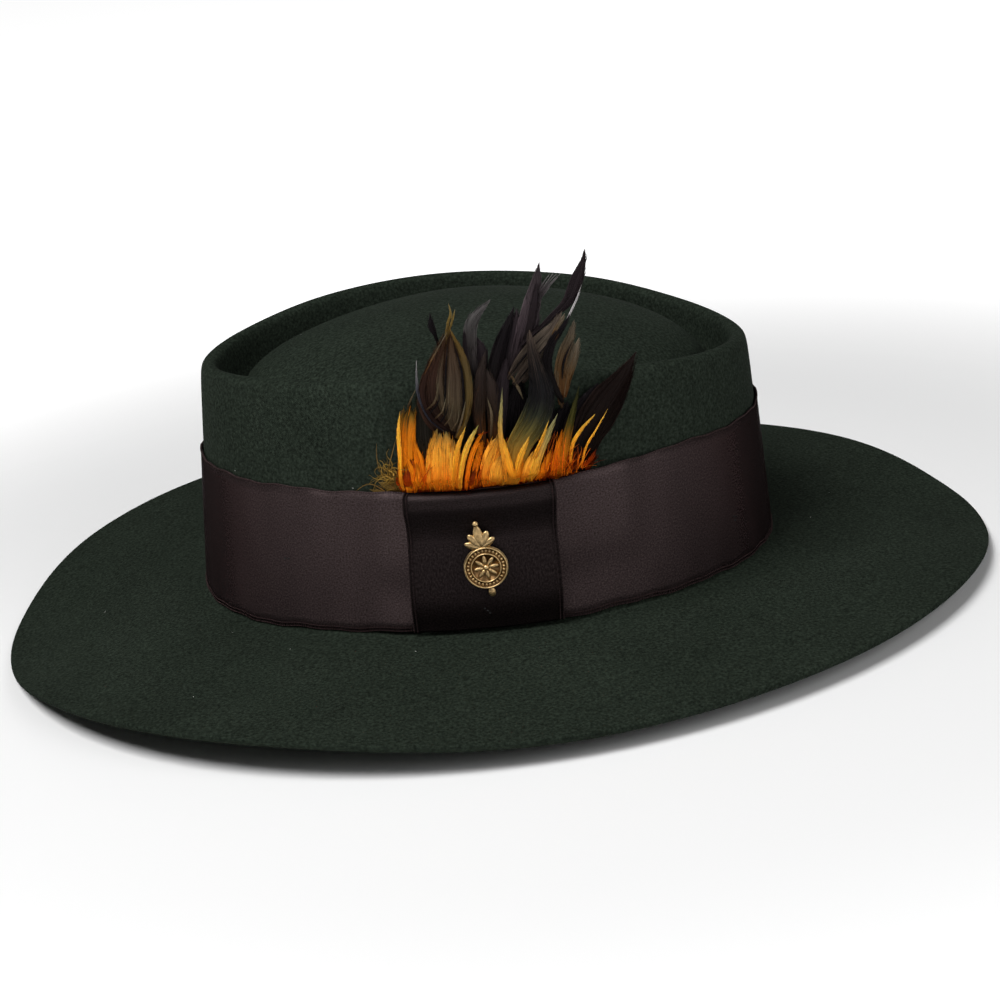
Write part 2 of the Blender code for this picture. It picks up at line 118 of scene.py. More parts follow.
# Small waves of a piece. turns counts them round the hat. across is how far they shift from one edge of the
# piece to the other, and start their phase, in radians. size is a share of the felt's stray, or metres at the
# ribbon's edges.
Wave = namedtuple("Wave", "turns across start size")
FELT_INOUT = (Wave(turns=3, across=7, start=0, size=1.0), Wave(turns=7, across=11, start=1.3, size=0.6))
FELT_RISE = (Wave(turns=5, across=-9, start=2.1, size=1.0), Wave(turns=2, across=4, start=0, size=0.6))
BAND_EDGE = (Wave(turns=17, across=4, start=0, size=0.00025), Wave(turns=41, across=0, start=0, size=0.0002))

# Feather plume
PLUME_PLACE = -0.003
PLUME_WIDTH = 0.064
PLUME_BACKING = 0.001
PLUME_TUCK = 0.016
PLUME_LAYER = 0.006
PLUME_SPREAD = 0.005
POCKET_MARGIN = 0.006
POCKET_EASE = 0.014

# The plume's chart. CHART_CORNER and CHART_SQUARE are its corner and a square's size in the camera's picture,
# in pixels. CHART_UNIT is a square's size on the wall, and CHART_LEFT and CHART_TOP a first guess of the
# corner's place there, which is mended CHART_TRIES times.
CHART_UNIT = 0.00059
CHART_LEFT = -0.0381
CHART_TOP = 0.1335
CHART_CORNER = (380, 240)
CHART_SQUARE = 1.786
CHART_TRIES = 6

# A lock of feather. CUP is a share of its relief, which is its half width, held under RELIEF_LIMIT. The tint
# of its margins runs ahead by TINT_LEAD of its length. From MARGIN_START on they are lighter by
# MARGIN_HIGHLIGHT:
# a painted highlight along the margins. STREAK_SPLAY is the angle of its streaks in degrees.
LEAF_THICKNESS = 0.00018
CUP = 0.35
RELIEF_LIMIT = 0.003
RIPPLE = 0.00012
RIPPLES = 7
STREAK_SPLAY = 4
TINT_LEAD = 0.06
INNER_TONE = 0.85
MARGIN_HIGHLIGHT = 0.6
MARGIN_START = 0.8

# Thin rods: how much slimmer their tips are, the length of their streaks, the phase of any wave, and how far
# they stray from their tint in lightness.
ROD_TAPER = 0.75
ROD_STREAK = 0.01
ANY_PHASE = (0, 6)
ROD_TONES = 0.35

# Fine strands along a lock. A pair is the least and the most, but STRAND_TONE is the middle and the spread of
# the strands' lightness. STRAND_ROOT_LIFT is the share of its lift that a strand has at its root, and past
# PARTING_START of the lock's length it strays outwards.
STRANDS_IN_SQUARE = 1.3
STRAND_SIDE = (-0.95, 0.95)
STRAND_START = (0, 0.4)
STRAND_END = (0.7, 1.0)
STRAND_LIFT = (0.00003, 0.00025)
STRAND_ROOT_LIFT = 0.3
STRAND_WIDTH = (0.00012, 0.00026)
STRAND_TONE = (0.05, 0.2)
PARTING = 0.3
PARTING_START = 0.6

# Loose barbs along a lock's margins. BARB_SPLAY is the middle and the spread of their angle in degrees, which
# is BARB_TIP_SPLAY of that at the lock's tip, and falls by a share of BARB_BEND along the barb. They start at
# FRINGE_START of the lock's half width, and are shorter where that is under THIN_LOCK.
FRINGE_SPAN = (0.12, 0.93)
BARB_SPLAY = (13, 4)
BARB_TIP_SPLAY = 0.3
BARB_BEND = 0.5
BARB_REACH = (0.0006, 0.0022)
BARB_SHARE = 0.45
BARB_WIDTH = (0.00007, 0.00014)
BARB_DEPTH = (0, 0.0004)
BARB_CUP = 0.1
FRINGE_START = 0.78
FRINGE_FADE = 0.9
FRINGE_TONES = 0.45
THIN_LOCK = 0.0008

# Bare barbs that stand up from the band's top. Places, lengths and DOWN_LINE are in the chart's squares, and
# DOWN_LEAN in degrees. DOWN_TURN is how much of its lean a barb has at its root, and how much it gains.
DOWN_SPANS = ((18, 30), (52, 67), (52, 67), (90, 114), (90, 114))
DOWN_LINE = 145
DOWN_SLANT = 0.12
DOWN_LENGTH = (10, 28)
DOWN_SHORTER = ((95, 1.0), (110, 0.6))
DOWN_LEAN = (9, 10)
DOWN_TURN = (0.4, 1.2)
DOWN_LAYER = (0.2, 1.0)
DOWN_WIDTH = (0.00012, 0.0003)
DOWN_ROOT = ((0.8, 0.1, 0.003), (1.0, 0.21, 0.008))
DOWN_TIP = ((0.3, 0.03, 0.0025), (0.8, 0.19, 0.0115))

# Curled fluff at the front. Places, lengths and FLUFF_FLOOR are in the chart's squares, turns in radians.
FLUFF_X = (3, 13)
FLUFF_Y = (130, 143)
FLUFF_FLOOR = 142
FLUFF_HEADING = (-1.9, 0.4)
FLUFF_CURL = (0, 1.5)
FLUFF_BENDS = 7
FLUFF_BEND = 0.6
FLUFF_LENGTH = (6, 17)
FLUFF_OUT = (0.0012, 0.005)
FLUFF_SWAYS = 5
FLUFF_SWAY = 0.001
FLUFF_WIDTH = 0.00018
FLUFF_ROOT = (0.36, 0.2, 0.04)
FLUFF_TIP = (0.8, 0.9, 0.8)
FLUFF_TONE = (0.3, 1.2)

# Shafts down the middles of locks at least this many squares wide
SHAFT_FROM = 7
SHAFT_END = 0.9
SHAFT_WIDTH = 0.00022
SHAFT_TONE = 0.8

# Badge. BADGE_PLACE is along the wall, and BADGE_HEIGHT above the ribbon's foot. PETAL, BOSS and BEAD are the
# widths, heights and depths of its lumps.
BADGE_PLACE = -0.0098
BADGE_HEIGHT = 0.0222
BADGE_RADIUS = 0.0072
BADGE_THICKNESS = 0.0008
BADGE_RELIEF = 0.0008
BADGE_TILT = math.radians(9.5)
PETALS = 8
PETAL = (0.0014, 0.0034, 0.0012)
PETAL_PLACE = 0.0025
BOSS = (0.002, 0.002, 0.0018)
BEAD = (0.0008, 0.0011, 0.0012)
BEAD_PLACE = 0.8
LEAF_LENGTH = 0.0078
LEAF_WIDTH = 0.0032
KNOB = 0.002
KNOB_RISE = 0.0005
DROP_WIDTH = 0.0024
DROP_LENGTH = 0.0034
PANEL_PUFF = 0.45

# How finely the surfaces are divided
SEGMENTS = 64
FELT_LEVELS = 2
BAND_COLUMNS = 240
BAND_ROWS = 14
KEEPER_COLUMNS = 36
KEEPER_ROWS = 56
LEAF_SIDES = 10
LEAF_STEPS = 18
BARB_STEPS = 5
STRAND_STEPS = 8
CURL_STEPS = 12
LUMP_SEGMENTS = 16
LUMP_RINGS = 10
SHARE_STEP = 0.01
TURN_STEPS = 64
ANGLE_STEP = 0.5
WELD = 1e-6
TRIM_SIDE = 270
TRIM_SPAN = 70

# The hat by stations round it, from the back to the front. Both sides are alike. brim_full and rim_full are
# the width of the outline there as a share of a plain ellipse's. edge, foot, crown and ribbon are heights, as
# shares of EDGE_RISE, BREAK_HEIGHT, CROWN_HEIGHT and RIBBON_WIDTH.
Station = namedtuple("Station", "brim_full edge foot rim_full crown ribbon")
STATION_STEP = 30
STATIONS = (
    Station(brim_full=0.943, edge=0.07, foot=0.62, rim_full=0.92, crown=0.874, ribbon=1.0),
    Station(brim_full=0.953, edge=0.60, foot=0.68, rim_full=0.95, crown=0.901, ribbon=0.995),
    Station(brim_full=0.974, edge=0.62, foot=0.80, rim_full=0.998, crown=0.960, ribbon=1.02),
    Station(brim_full=1.0, edge=0.62, foot=0.92, rim_full=1.0, crown=1.0, ribbon=0.97),
    Station(brim_full=1.018, edge=1.0, foot=0.97, rim_full=0.93, crown=1.003, ribbon=0.965),
    Station(brim_full=1.035, edge=0.75, foot=0.89, rim_full=0.83, crown=0.994, ribbon=0.99),
    Station(brim_full=1.042, edge=0.07, foot=0.93, rim_full=0.78, crown=0.970, ribbon=1.0),
)

# The inner wall of the rim, from the fold down to the valley: shares of VALLEY_INSET and VALLEY_DEPTH.
INNER_WALL = ((0.42, 0.45), (0.5, 0.8), (0.68, 1.0), (0.88, 1.04))
FOLD_ANGLES = (180, 135, 90, 50, 15)
DOME_SHARES = (1.0, 0.975, 0.9, 0.77, 0.57, 0.3, 0.0)
WALL_SHARES = (0.0, 0.25, 0.5, 0.75)
BRIM_SHARES = (1.0, 0.992, 0.965, 0.85, 0.72, 0.58, 0.45, 0.32, 0.2)

# The keeper's front from its lip over its rolled top to its foot: shares of RIBBON_WIDTH and of KEEPER_PUFF.
KEEPER_FOLDS = (
    (1.0, -0.3),
    (0.99, 0.5),
    (0.955, 0.98),
    (0.9, 1.08),
    (0.85, 0.85),
    (0.78, 0.42),
    (0.71, 0.1),
    (0.66, 0.0),
    (0.64, 0.06),
    (0.56, 0.2),
    (0.42, 0.4),
    (0.28, 0.6),
    (0.2, 0.62),
    (0.12, 0.4),
    (0.05, 0.1),
    (0.0, -0.05),
)

# The plume is drawn on a chart that the camera sees in front of the crown's wall: x runs to the hat's back
# and y down, in squares. A row has the points of the lock's middle from its root to its tip, its width in
# squares, how far out it lies as a share of PLUME_LAYER, how far it is turned about its middle, its tint, and
# its outline where that isn't a leaf.
Lock = namedtuple("Lock", "spine width layer turn tint outline", defaults=("leaf",))
TALL_SPINE = ((78, 60), (88, 50.5), (97, 42), (105.5, 33.6), (110.5, 21), (113.6, 12), (114.6, 4.5))
MIDDLE_SPINE = ((72, 138), (77, 117), (86, 102), (90.5, 88), (88, 73), (84.8, 60), (83.7, 50.5))
LOCK_ROWS = (
    # The first six locks lie low behind the others: painted shadow, dark sheets where shade falls behind and
    # between the front locks.
    (((72, 122), (75, 98), (78, 76)), 17, 0.05, 0.0, "black"),
    (((27, 128), (25, 112), (24, 98), (21, 84)), 12, 0.3, 0.1, "shade"),
    (((43, 124), (46, 106), (50, 88)), 13, 0.05, 0.0, "shade"),
    (((58, 124), (60, 102), (60, 84)), 12, 0.05, 0.0, "black"),
    (((96, 126), (100, 108), (105, 90)), 15, 0.05, 0.0, "black"),
    (((86, 124), (92, 104), (95, 84)), 13, 0.05, 0.0, "black"),
    (((34, 66), (31.5, 55), (28.8, 48), (27.8, 40.5)), 3.8, 0.1, 0.3, "black", "blade"),
    (((54, 80), (51, 62), (50.5, 50), (54, 42), (62, 33.5)), 8, 0.2, -0.3, "grey"),
    (((50, 84), (48.5, 68), (47.5, 58), (47, 50)), 3, 0.2, 0.2, "plum"),
    (((58, 88), (57, 72), (57, 62), (54, 54)), 7, 0.15, 0.2, "plum"),
    (((64, 92), (66, 74), (70, 56), (75, 37)), 13, 0.25, 0.3, "black"),
    (((70, 82), (73, 66), (76, 50), (76.5, 38)), 8, 0.25, -0.2, "plum"),
    (((73, 76), (79, 57), (84, 40), (87, 26), (89.2, 12)), 11.5, 0.25, 0.3, "purple"),
    (((80, 62), (84, 46), (86.5, 34), (88, 22)), 5, 0.35, -0.3, "plum"),
    (((74, 72), (79, 56), (84, 44), (88, 33)), 14, 0.22, 0.0, "purple"),
    (((88, 30), (91.5, 24), (95.2, 18.5)), 0.9, 0.3, 0.0, "frayed", "spike"),
    (((88, 31), (93, 24), (97.4, 17.9)), 0.9, 0.3, 0.0, "frayed", "spike"),
    (((88, 32), (94.5, 23.5), (99.7, 18.1)), 0.9, 0.3, 0.0, "frayed", "spike"),
    (((88, 33), (95.5, 24), (101.4, 18.5)), 0.9, 0.3, 0.0, "frayed", "spike"),
    (((88, 34), (95, 25.5), (99.7, 20.7)), 0.9, 0.3, 0.0, "frayed", "spike"),
    (((88, 35), (93, 29), (96.3, 24)), 0.9, 0.3, 0.0, "frayed", "spike"),
    (((110, 130), (116, 110), (124.5, 94), (134, 80), (143.5, 62.5)), 25, 0.3, 0.3, "rust"),
    (((104, 128), (109, 108), (115, 94), (122, 80)), 17, 0.2, -0.2, "black"),
    (((101.5, 92), (100.5, 78), (103, 64), (106.5, 54), (108.8, 44.5)), 8.5, 0.45, 0.3, "dun"),
    (((103, 88), (104.5, 76), (108, 66), (111.5, 54.5)), 7, 0.5, -0.3, "dun"),
    (((102, 94), (99, 80), (99, 68)), 3.2, 0.5, 0.2, "khaki"),
    (((102, 78), (103, 68), (108, 56)), 1.3, 0.62, 0.0, "black"),
    (((72, 78), (79, 67), (89, 56), (97.5, 47), (102.3, 34.7)), 7.5, 0.45, 0.2, "taupe"),
    (((75, 81), (83, 70), (91, 59), (97.5, 50), (102, 39)), 8, 0.5, -0.2, "taupe"),
    (((80, 80), (88, 69), (94, 60), (99, 50)), 5, 0.5, 0.2, "taupe"),
    (((72, 77), (82, 64), (92, 53)), 0.9, 0.62, 0.0, "black"),
    (((78, 78), (86, 68), (95, 56)), 0.9, 0.62, 0.0, "black"),
    (((96, 58), (99, 50), (103.5, 41)), 3.5, 0.62, -0.3, "dun"),
    (((72, 74), (76.5, 81), (80.5, 90)), 1.6, 0.5, 0.0, "khaki"),
    (((102.5, 91), (97, 81), (93.5, 70), (96, 58), (102, 49), (107, 41)), 6, 0.65, 0.2, "black"),
    (TALL_SPINE, 9, 0.48, 0.3, "plum", "blade"),
    (((103.5, 46), (107, 40), (110.5, 32), (112.8, 25)), 0.9, 0.62, -0.3, "silver"),
    (((63, 116), (64, 96), (62, 82), (59.5, 72)), 9, 0.45, -0.2, "umber"),
    (((68, 116), (67.5, 96), (69, 78), (71, 66)), 8, 0.45, 0.2, "plum"),
    (((58, 116), (55.5, 95), (56, 78), (59, 62)), 7.5, 0.55, 0.3, "umber"),
    (((54, 108), (53, 92), (56, 80)), 2.5, 0.6, 0.3, "russet"),
    (((62, 112), (62.5, 98), (60, 88)), 1.4, 0.6, 0.0, "khaki"),
    (((42, 110), (34.5, 95), (36, 74), (38.5, 49)), 27, 0.55, 0.0, "russet"),
    (((40, 108), (28, 97), (24.5, 84), (31.5, 66), (38.5, 50)), 6, 0.68, 0.4, "maroon"),
    (((39, 105), (31, 94), (29.5, 79), (34, 63), (38.5, 51)), 6, 0.7, 0.3, "russet"),
    (((38, 101), (34.5, 91), (33.5, 77), (36, 61)), 4.5, 0.74, -0.2, "bronze"),
    (((42, 107), (41, 93), (41, 77), (39.5, 54)), 11.5, 0.74, 0.0, "bronze"),
    # A thin dark line of painted shadow along the right of the bronze panel.
    (((45.5, 104), (46.8, 90), (45.6, 73), (41, 58)), 1.2, 0.86, 0.0, "black"),
    (((36, 98), (36.5, 84), (37, 70), (38, 56)), 1.0, 0.86, 0.0, "black"),
    (((41, 103), (38.5, 92), (39, 76)), 0.6, 0.86, 0.0, "khaki"),
    (((43, 111), (48.5, 97), (49.3, 80), (46, 64), (38.7, 49)), 5, 0.8, -0.5, "margin"),
    (((44.5, 111), (49, 99), (50.8, 86)), 1.1, 0.95, 0.0, "margin"),
    (((42, 111), (45.5, 101), (48, 90)), 0.9, 0.95, 0.0, "khaki"),
    (((39, 109), (28, 101), (22, 89), (20.6, 78), (20.4, 67)), 1.6, 0.8, 0.4, "steel", "blade"),
    (((26, 95), (30, 91.5), (32, 86), (33, 78)), 0.8, 0.9, 0.0, "khaki", "spike"),
    (((31, 100), (35, 95.5), (37, 88)), 0.8, 0.9, 0.0, "khaki", "spike"),
    (((36, 104), (39.5, 99), (41, 91)), 0.8, 0.9, 0.0, "khaki", "spike"),
    (((40, 107), (43.5, 101), (44.5, 94)), 0.8, 0.9, 0.0, "khaki", "spike"),
    (((28, 97), (32, 92), (34, 86)), 0.9, 0.88, 0.0, "black", "spike"),
    (((34, 102), (37, 97), (39, 90)), 0.9, 0.88, 0.0, "black", "spike"),
    (((24.5, 76), (31, 63.5), (38, 51)), 0.7, 0.88, 0.0, "dun"),
    (((36.5, 58), (38, 47), (39.5, 41), (38.3, 35.5)), 1.8, 0.7, 0.0, "gold", "spike"),
    (((37, 55), (40.5, 45), (42, 39)), 1.4, 0.7, 0.0, "gold", "spike"),
    (((38, 54), (40, 46), (40.3, 41)), 1.0, 0.75, 0.0, "gold", "spike"),
    (((18, 148), (17, 134), (17, 120)), 17, 0.5, 0.0, "amber"),
    (((34, 148), (34, 134), (36, 118)), 19, 0.5, 0.0, "amber"),
    (((52, 146), (52, 132), (54, 117)), 19, 0.5, 0.0, "ember"),
    (((68, 144), (68, 130), (70, 116)), 19, 0.5, 0.0, "amber"),
    (((84, 142), (86, 128), (90, 115)), 19, 0.5, 0.0, "ember"),
    (((100, 139), (102, 126), (106, 114)), 18, 0.5, 0.0, "ember"),
    (((111, 136), (115, 127), (121, 118)), 8, 0.4, 0.0, "ember"),
    (MIDDLE_SPINE, 17, 0.9, 0.2, "slate", "flame"),
    (((74, 139), (77, 127), (80, 118), (84, 109)), 3.5, 1.0, 0.2, "sun"),
    (((78, 139), (83, 127), (87, 118)), 5, 1.0, -0.2, "peach"),
    (((99, 139), (103, 119), (106.5, 102), (111.7, 81.5)), 5.5, 0.7, 0.3, "reed"),
    (((95, 140), (99, 122), (102, 106)), 5, 0.75, 0.3, "flare"),
    (((84, 140), (88.5, 124), (93.5, 110), (99.6, 97)), 3.8, 0.95, -0.3, "straw"),
    (((79, 141), (85, 125), (90.5, 112), (94.5, 101)), 2.2, 1.0, 0.3, "sun"),
    (((82, 141), (86, 129), (90, 119)), 3.5, 1.0, 0.3, "sun"),
    (((88, 140), (92, 128), (96, 117)), 5, 0.85, 0.2, "flare"),
    (((91, 140), (94, 130), (97, 122)), 4, 0.7, 0.2, "amber"),
    (((105, 137), (107, 118), (112, 107), (120.5, 97.5)), 2.4, 0.6, 0.3, "sun"),
    (((109, 135), (115, 117), (121, 106), (127.6, 94.5)), 1.3, 0.6, 0.3, "sun"),
    (((103, 138), (104.5, 125), (108, 113)), 4, 0.55, 0.3, "amber"),
    (((113, 134), (117, 124), (121, 117)), 2.6, 0.5, 0.0, "amber"),
    (((111, 133), (120, 125), (127.5, 122.5)), 0.8, 0.4, 0.0, "ember", "spike"),
    (((19, 150), (15.5, 124), (15, 108), (16.3, 97), (17.8, 90)), 10, 0.5, 0.2, "moss", "tongue"),
    (((15.5, 94), (17.7, 88.5), (20.4, 83)), 1.0, 0.45, 0.0, "khaki", "spike"),
    (((13.5, 150), (11.4, 125), (10.4, 108), (11.2, 96)), 2.2, 0.75, 0.4, "sun"),
    (((26, 150), (22.5, 128), (19, 112)), 6.5, 0.65, -0.3, "flare"),
    (((21, 150), (19, 133), (13.5, 119)), 3, 0.75, 0.3, "flare"),
    (((27, 151), (23, 137), (20, 124)), 5, 0.8, 0.2, "flare"),
    (((31, 150), (30, 132), (30.5, 118), (32, 105.5)), 9, 0.85, 0.1, "peach"),
    (((34, 150), (34, 130), (34, 118), (33.5, 108)), 13, 0.9, 0.0, "peach"),
    (((38, 150), (38, 129), (38, 118), (37, 107)), 12, 0.95, -0.1, "peach"),
    (((41, 150), (42, 132), (42, 121), (41, 112)), 8, 1.0, 0.2, "peach"),
    (((41, 149), (42, 126), (44, 115), (48, 104.5)), 2.8, 1.15, 0.3, "sun"),
    (((44, 149), (46, 126), (50, 113), (55.2, 103.5)), 3.2, 1.1, -0.3, "sprout"),
    (((47, 149), (50, 126), (54, 114), (58, 107)), 2.8, 1.0, 0.3, "flare"),
    (((55, 109), (59, 108), (63, 106.3)), 0.5, 1.0, 0.0, "ember", "spike"),
    (((50, 147), (53, 130), (56, 118), (57.5, 112)), 3.5, 0.8, 0.2, "flare"),
    (((56, 147), (58, 130), (60.5, 117)), 5, 0.75, -0.2, "amber"),
    (((54, 146), (57, 136), (63, 127)), 4, 0.85, 0.2, "amber"),
    (((48, 147), (50, 136), (54, 127)), 5, 0.85, -0.2, "amber"),
    (((61, 146), (60.5, 130), (63.5, 117), (67, 109)), 9, 0.9, 0.2, "peach"),
    (((66, 146), (66, 130), (69.5, 119)), 9, 0.95, 0.2, "peach"),
    (((77, 143), (72.5, 127), (69, 116), (67.4, 106)), 4.5, 1.05, -0.3, "sun"),
    (((71, 142), (69, 121), (67.3, 106), (67.8, 95), (68.5, 82.5)), 2.4, 1.1, 0.2, "straw"),
    (((75, 143), (77, 132), (80, 122)), 5, 0.95, 0.2, "flare"),
    (((12, 145), (6, 139), (-1, 135.5)), 6, 0.25, 0.2, "web"),
    (((13, 144), (8, 135), (4, 127)), 6, 0.3, -0.2, "web"),
    (((13, 145), (4, 143), (-6, 139.5)), 4, 0.2, 0.2, "web"),
    (((10, 142), (2, 133), (-1.5, 124), (-2, 114)), 0.7, 0.4, 0.0, "web", "spike"),
    (((9, 142), (5, 129), (7, 119), (9, 111)), 0.7, 0.4, 0.0, "web", "spike"),
    (((4, 142), (-4, 137), (-9, 137.5), (-14, 141)), 0.8, 0.35, 0.0, "web", "spike"),
)
LOCKS = [Lock(*row) for row in LOCK_ROWS]

# A lock's half width from its root to its tip, as shares of its length and of its full half width.
OUTLINES = {
    "leaf": ((0.0, 0.35), (0.15, 0.68), (0.4, 1.0), (0.6, 0.93), (0.8, 0.55), (0.93, 0.18), (1.0, 0.01)),
    "blade": (
        (0.0, 0.15),
        (0.2, 0.3),
        (0.4, 0.55),
        (0.55, 0.95),
        (0.65, 1.0),
        (0.8, 0.55),
        (0.9, 0.25),
        (1.0, 0.01),
    ),
    "tongue": ((0.0, 0.5), (0.15, 0.75), (0.4, 1.0), (0.65, 0.92), (0.74, 0.7), (0.8, 0.22), (1.0, 0.01)),
    "flame": ((0.0, 0.5), (0.15, 0.8), (0.35, 1.0), (0.5, 0.9), (0.66, 0.52), (0.85, 0.22), (1.0, 0.02)),
    "spike": ((0.0, 1.0), (0.5, 0.7), (0.85, 0.35), (1.0, 0.04)),
}

# Linear colours of the locks at equal steps from the root to the tip.
TINTS = {
    # shade is painted shadow for dark locks laid where shade falls; black colours real black feathers and
    # also some locks of painted shadow.
    "shade": ((0.05, 0.03, 0.012), (0.016, 0.013, 0.009), (0.016, 0.013, 0.01), (0.02, 0.018, 0.01)),
    "black": ((0.006, 0.0045, 0.004), (0.0065, 0.005, 0.005), (0.008, 0.006, 0.007), (0.01, 0.008, 0.009)),
    "rust": (
        (0.006, 0.003, 0.0025),
        (0.009, 0.0055, 0.0045),
        (0.009, 0.005, 0.0042),
        (0.012, 0.0065, 0.0055),
    ),
    "maroon": ((0.01, 0.005, 0.004), (0.018, 0.008, 0.006), (0.028, 0.013, 0.009), (0.02, 0.012, 0.01)),
    "russet": ((0.012, 0.006, 0.004), (0.026, 0.013, 0.009), (0.038, 0.018, 0.012), (0.045, 0.022, 0.01)),
    "plum": ((0.01, 0.007, 0.007), (0.014, 0.01, 0.011), (0.018, 0.013, 0.015), (0.024, 0.018, 0.02)),
    "purple": ((0.024, 0.017, 0.018), (0.042, 0.03, 0.034), (0.055, 0.042, 0.046), (0.042, 0.033, 0.036)),
    "grey": ((0.02, 0.015, 0.015), (0.042, 0.036, 0.035), (0.062, 0.058, 0.056), (0.075, 0.068, 0.068)),
    "frayed": ((0.03, 0.024, 0.026), (0.06, 0.05, 0.052), (0.12, 0.11, 0.11), (0.16, 0.15, 0.15)),
    "silver": ((0.08, 0.07, 0.072), (0.3, 0.28, 0.28), (0.42, 0.4, 0.4), (0.3, 0.28, 0.28)),
    "steel": ((0.012, 0.012, 0.016), (0.02, 0.02, 0.028), (0.05, 0.05, 0.06), (0.34, 0.32, 0.32)),
    "taupe": ((0.02, 0.013, 0.011), (0.06, 0.045, 0.034), (0.1, 0.078, 0.06), (0.13, 0.1, 0.08)),
    "dun": ((0.06, 0.021, 0.006), (0.09, 0.046, 0.017), (0.085, 0.063, 0.039), (0.14, 0.112, 0.08)),
    "khaki": ((0.03, 0.016, 0.008), (0.09, 0.06, 0.032), (0.12, 0.09, 0.055), (0.12, 0.1, 0.06)),
    "umber": ((0.09, 0.03, 0.006), (0.022, 0.013, 0.008), (0.026, 0.017, 0.014), (0.03, 0.022, 0.019)),
    "bronze": ((0.03, 0.018, 0.009), (0.075, 0.053, 0.03), (0.068, 0.046, 0.03), (0.05, 0.028, 0.016)),
    "margin": ((0.2, 0.1, 0.018), (0.09, 0.06, 0.02), (0.075, 0.05, 0.02), (0.13, 0.075, 0.018)),
    "gold": ((0.04, 0.024, 0.008), (0.12, 0.075, 0.02), (0.2, 0.135, 0.037), (0.18, 0.135, 0.055)),
    "slate": (
        (0.7, 0.19, 0.01),
        (0.42, 0.19, 0.02),
        (0.15, 0.115, 0.028),
        (0.028, 0.031, 0.018),
        (0.01, 0.0095, 0.01),
        (0.01, 0.0095, 0.01),
        (0.018, 0.014, 0.013),
        (0.05, 0.037, 0.031),
        (0.08, 0.058, 0.045),
    ),
    "sun": ((1.0, 0.19, 0.006), (0.98, 0.36, 0.02), (0.98, 0.45, 0.04), (0.75, 0.42, 0.06)),
    "peach": (
        (1.0, 0.12, 0.004),
        (0.95, 0.22, 0.009),
        (0.88, 0.35, 0.03),
        (0.85, 0.35, 0.035),
        (0.12, 0.09, 0.03),
    ),
    "flare": ((1.0, 0.12, 0.004), (1.0, 0.21, 0.006), (0.9, 0.26, 0.009), (0.5, 0.13, 0.005)),
    "amber": ((0.7, 0.075, 0.0025), (0.5, 0.055, 0.0025), (0.24, 0.028, 0.0025), (0.1, 0.014, 0.002)),
    "ember": ((0.6, 0.06, 0.0025), (0.2, 0.022, 0.002), (0.08, 0.01, 0.0015), (0.025, 0.005, 0.002)),
    "moss": (
        (1.0, 0.18, 0.005),
        (1.0, 0.26, 0.008),
        (0.9, 0.26, 0.008),
        (0.68, 0.19, 0.007),
        (0.62, 0.17, 0.007),
        (0.22, 0.11, 0.013),
        (0.012, 0.013, 0.007),
        (0.012, 0.013, 0.007),
    ),
    "reed": ((0.6, 0.14, 0.004), (0.6, 0.19, 0.008), (0.06, 0.052, 0.01), (0.022, 0.024, 0.008)),
    "sprout": ((0.85, 0.19, 0.006), (0.95, 0.4, 0.03), (0.9, 0.45, 0.05), (0.35, 0.36, 0.1)),
    "straw": ((0.85, 0.19, 0.006), (0.85, 0.36, 0.03), (0.42, 0.32, 0.1), (0.2, 0.2, 0.1)),
    "web": ((0.3, 0.14, 0.03), (0.22, 0.12, 0.03), (0.2, 0.12, 0.035), (0.2, 0.12, 0.035)),
}

# The badge's raised rings: shares of BADGE_RADIUS, and of BADGE_RELIEF for the height. RING_PROFILE is a
# ring's section, as shares of its half width and of its height.
Ring = namedtuple("Ring", "middle width height")
RINGS = (Ring(middle=0.94, width=0.1, height=1.0), Ring(middle=0.66, width=0.08, height=0.85))
RING_PROFILE = ((1.0, 0), (0.8, 0.7), (0.3, 1), (-0.3, 1), (-0.8, 0.7), (-1.0, 0))

# The leaves on the badge's top edge: their lean in degrees, and shares of LEAF_LENGTH and of LEAF_WIDTH.
LEAVES = ((-62, 0.72, 0.75), (62, 0.72, 0.75), (-31, 0.8, 0.85), (31, 0.8, 0.85), (0, 1.0, 1.0))

# How each material takes the light, as inputs of its shader. The band's gloss spreads across its threads.
SATIN = {"Specular IOR Level": 0.0, "Specular Tint": (0, 0, 0, 1), "Anisotropic Rotation": 0.25}
LOOPS = {"Roughness": 0.7, "Specular IOR Level": 0.1}
FINISHES = {
    "green_felt": {"Roughness": 0.95, "Specular IOR Level": 0.02},
    "satin_ribbon": {"Roughness": 0.5, "Metallic": 0.8, "Anisotropic": 0.7, **SATIN},
    "keeper_satin": {"Roughness": 0.55, "Metallic": 1.0, **SATIN},
    "band_loops": LOOPS,
    "keeper_loops": LOOPS,
    "thread": {"Roughness": 0.6, "Specular IOR Level": 0.1},
    "feather": {"Roughness": 0.42, "Specular IOR Level": 0.03},
    "badge_brass": {"Metallic": 1.0},
    "floor_paint": {"Roughness": 0.9},
}

# The noises that pattern the materials. scale counts waves in a metre, or in the size that the noise is
# given. distance and strength are those of the bump that it makes.
Grain = namedtuple("Grain", "scale detail roughness distance strength", defaults=(0.5, 0.0, 0.0))
GRAINS = {
    "clouds": Grain(scale=30, detail=3),
    "mottle": Grain(scale=0.9, detail=4, roughness=0.65, distance=0.0002, strength=0.3),
    "fibres": Grain(scale=3.2, detail=2, distance=0.00012, strength=0.45),
    "weave": Grain(scale=0.9, detail=3, roughness=0.7, distance=0.00005, strength=0.3),
    "wear": Grain(scale=1.0, detail=2),
    "loops": Grain(scale=2500, detail=2),
    "thread": Grain(scale=6000, detail=2),
    "streaks": Grain(scale=1.0, detail=2, roughness=0.6, distance=0.0001, strength=0.5),
    "bands": Grain(scale=1.0, detail=2, distance=0.0003, strength=0.5),
    "patches": Grain(scale=900, detail=4, roughness=0.6, distance=0.0001, strength=0.5),
}
WEAR_SCALE = (40, 25)
STREAK_SCALE = (5200, 160, 1)
BAND_SCALE = (1500, 60, 1)

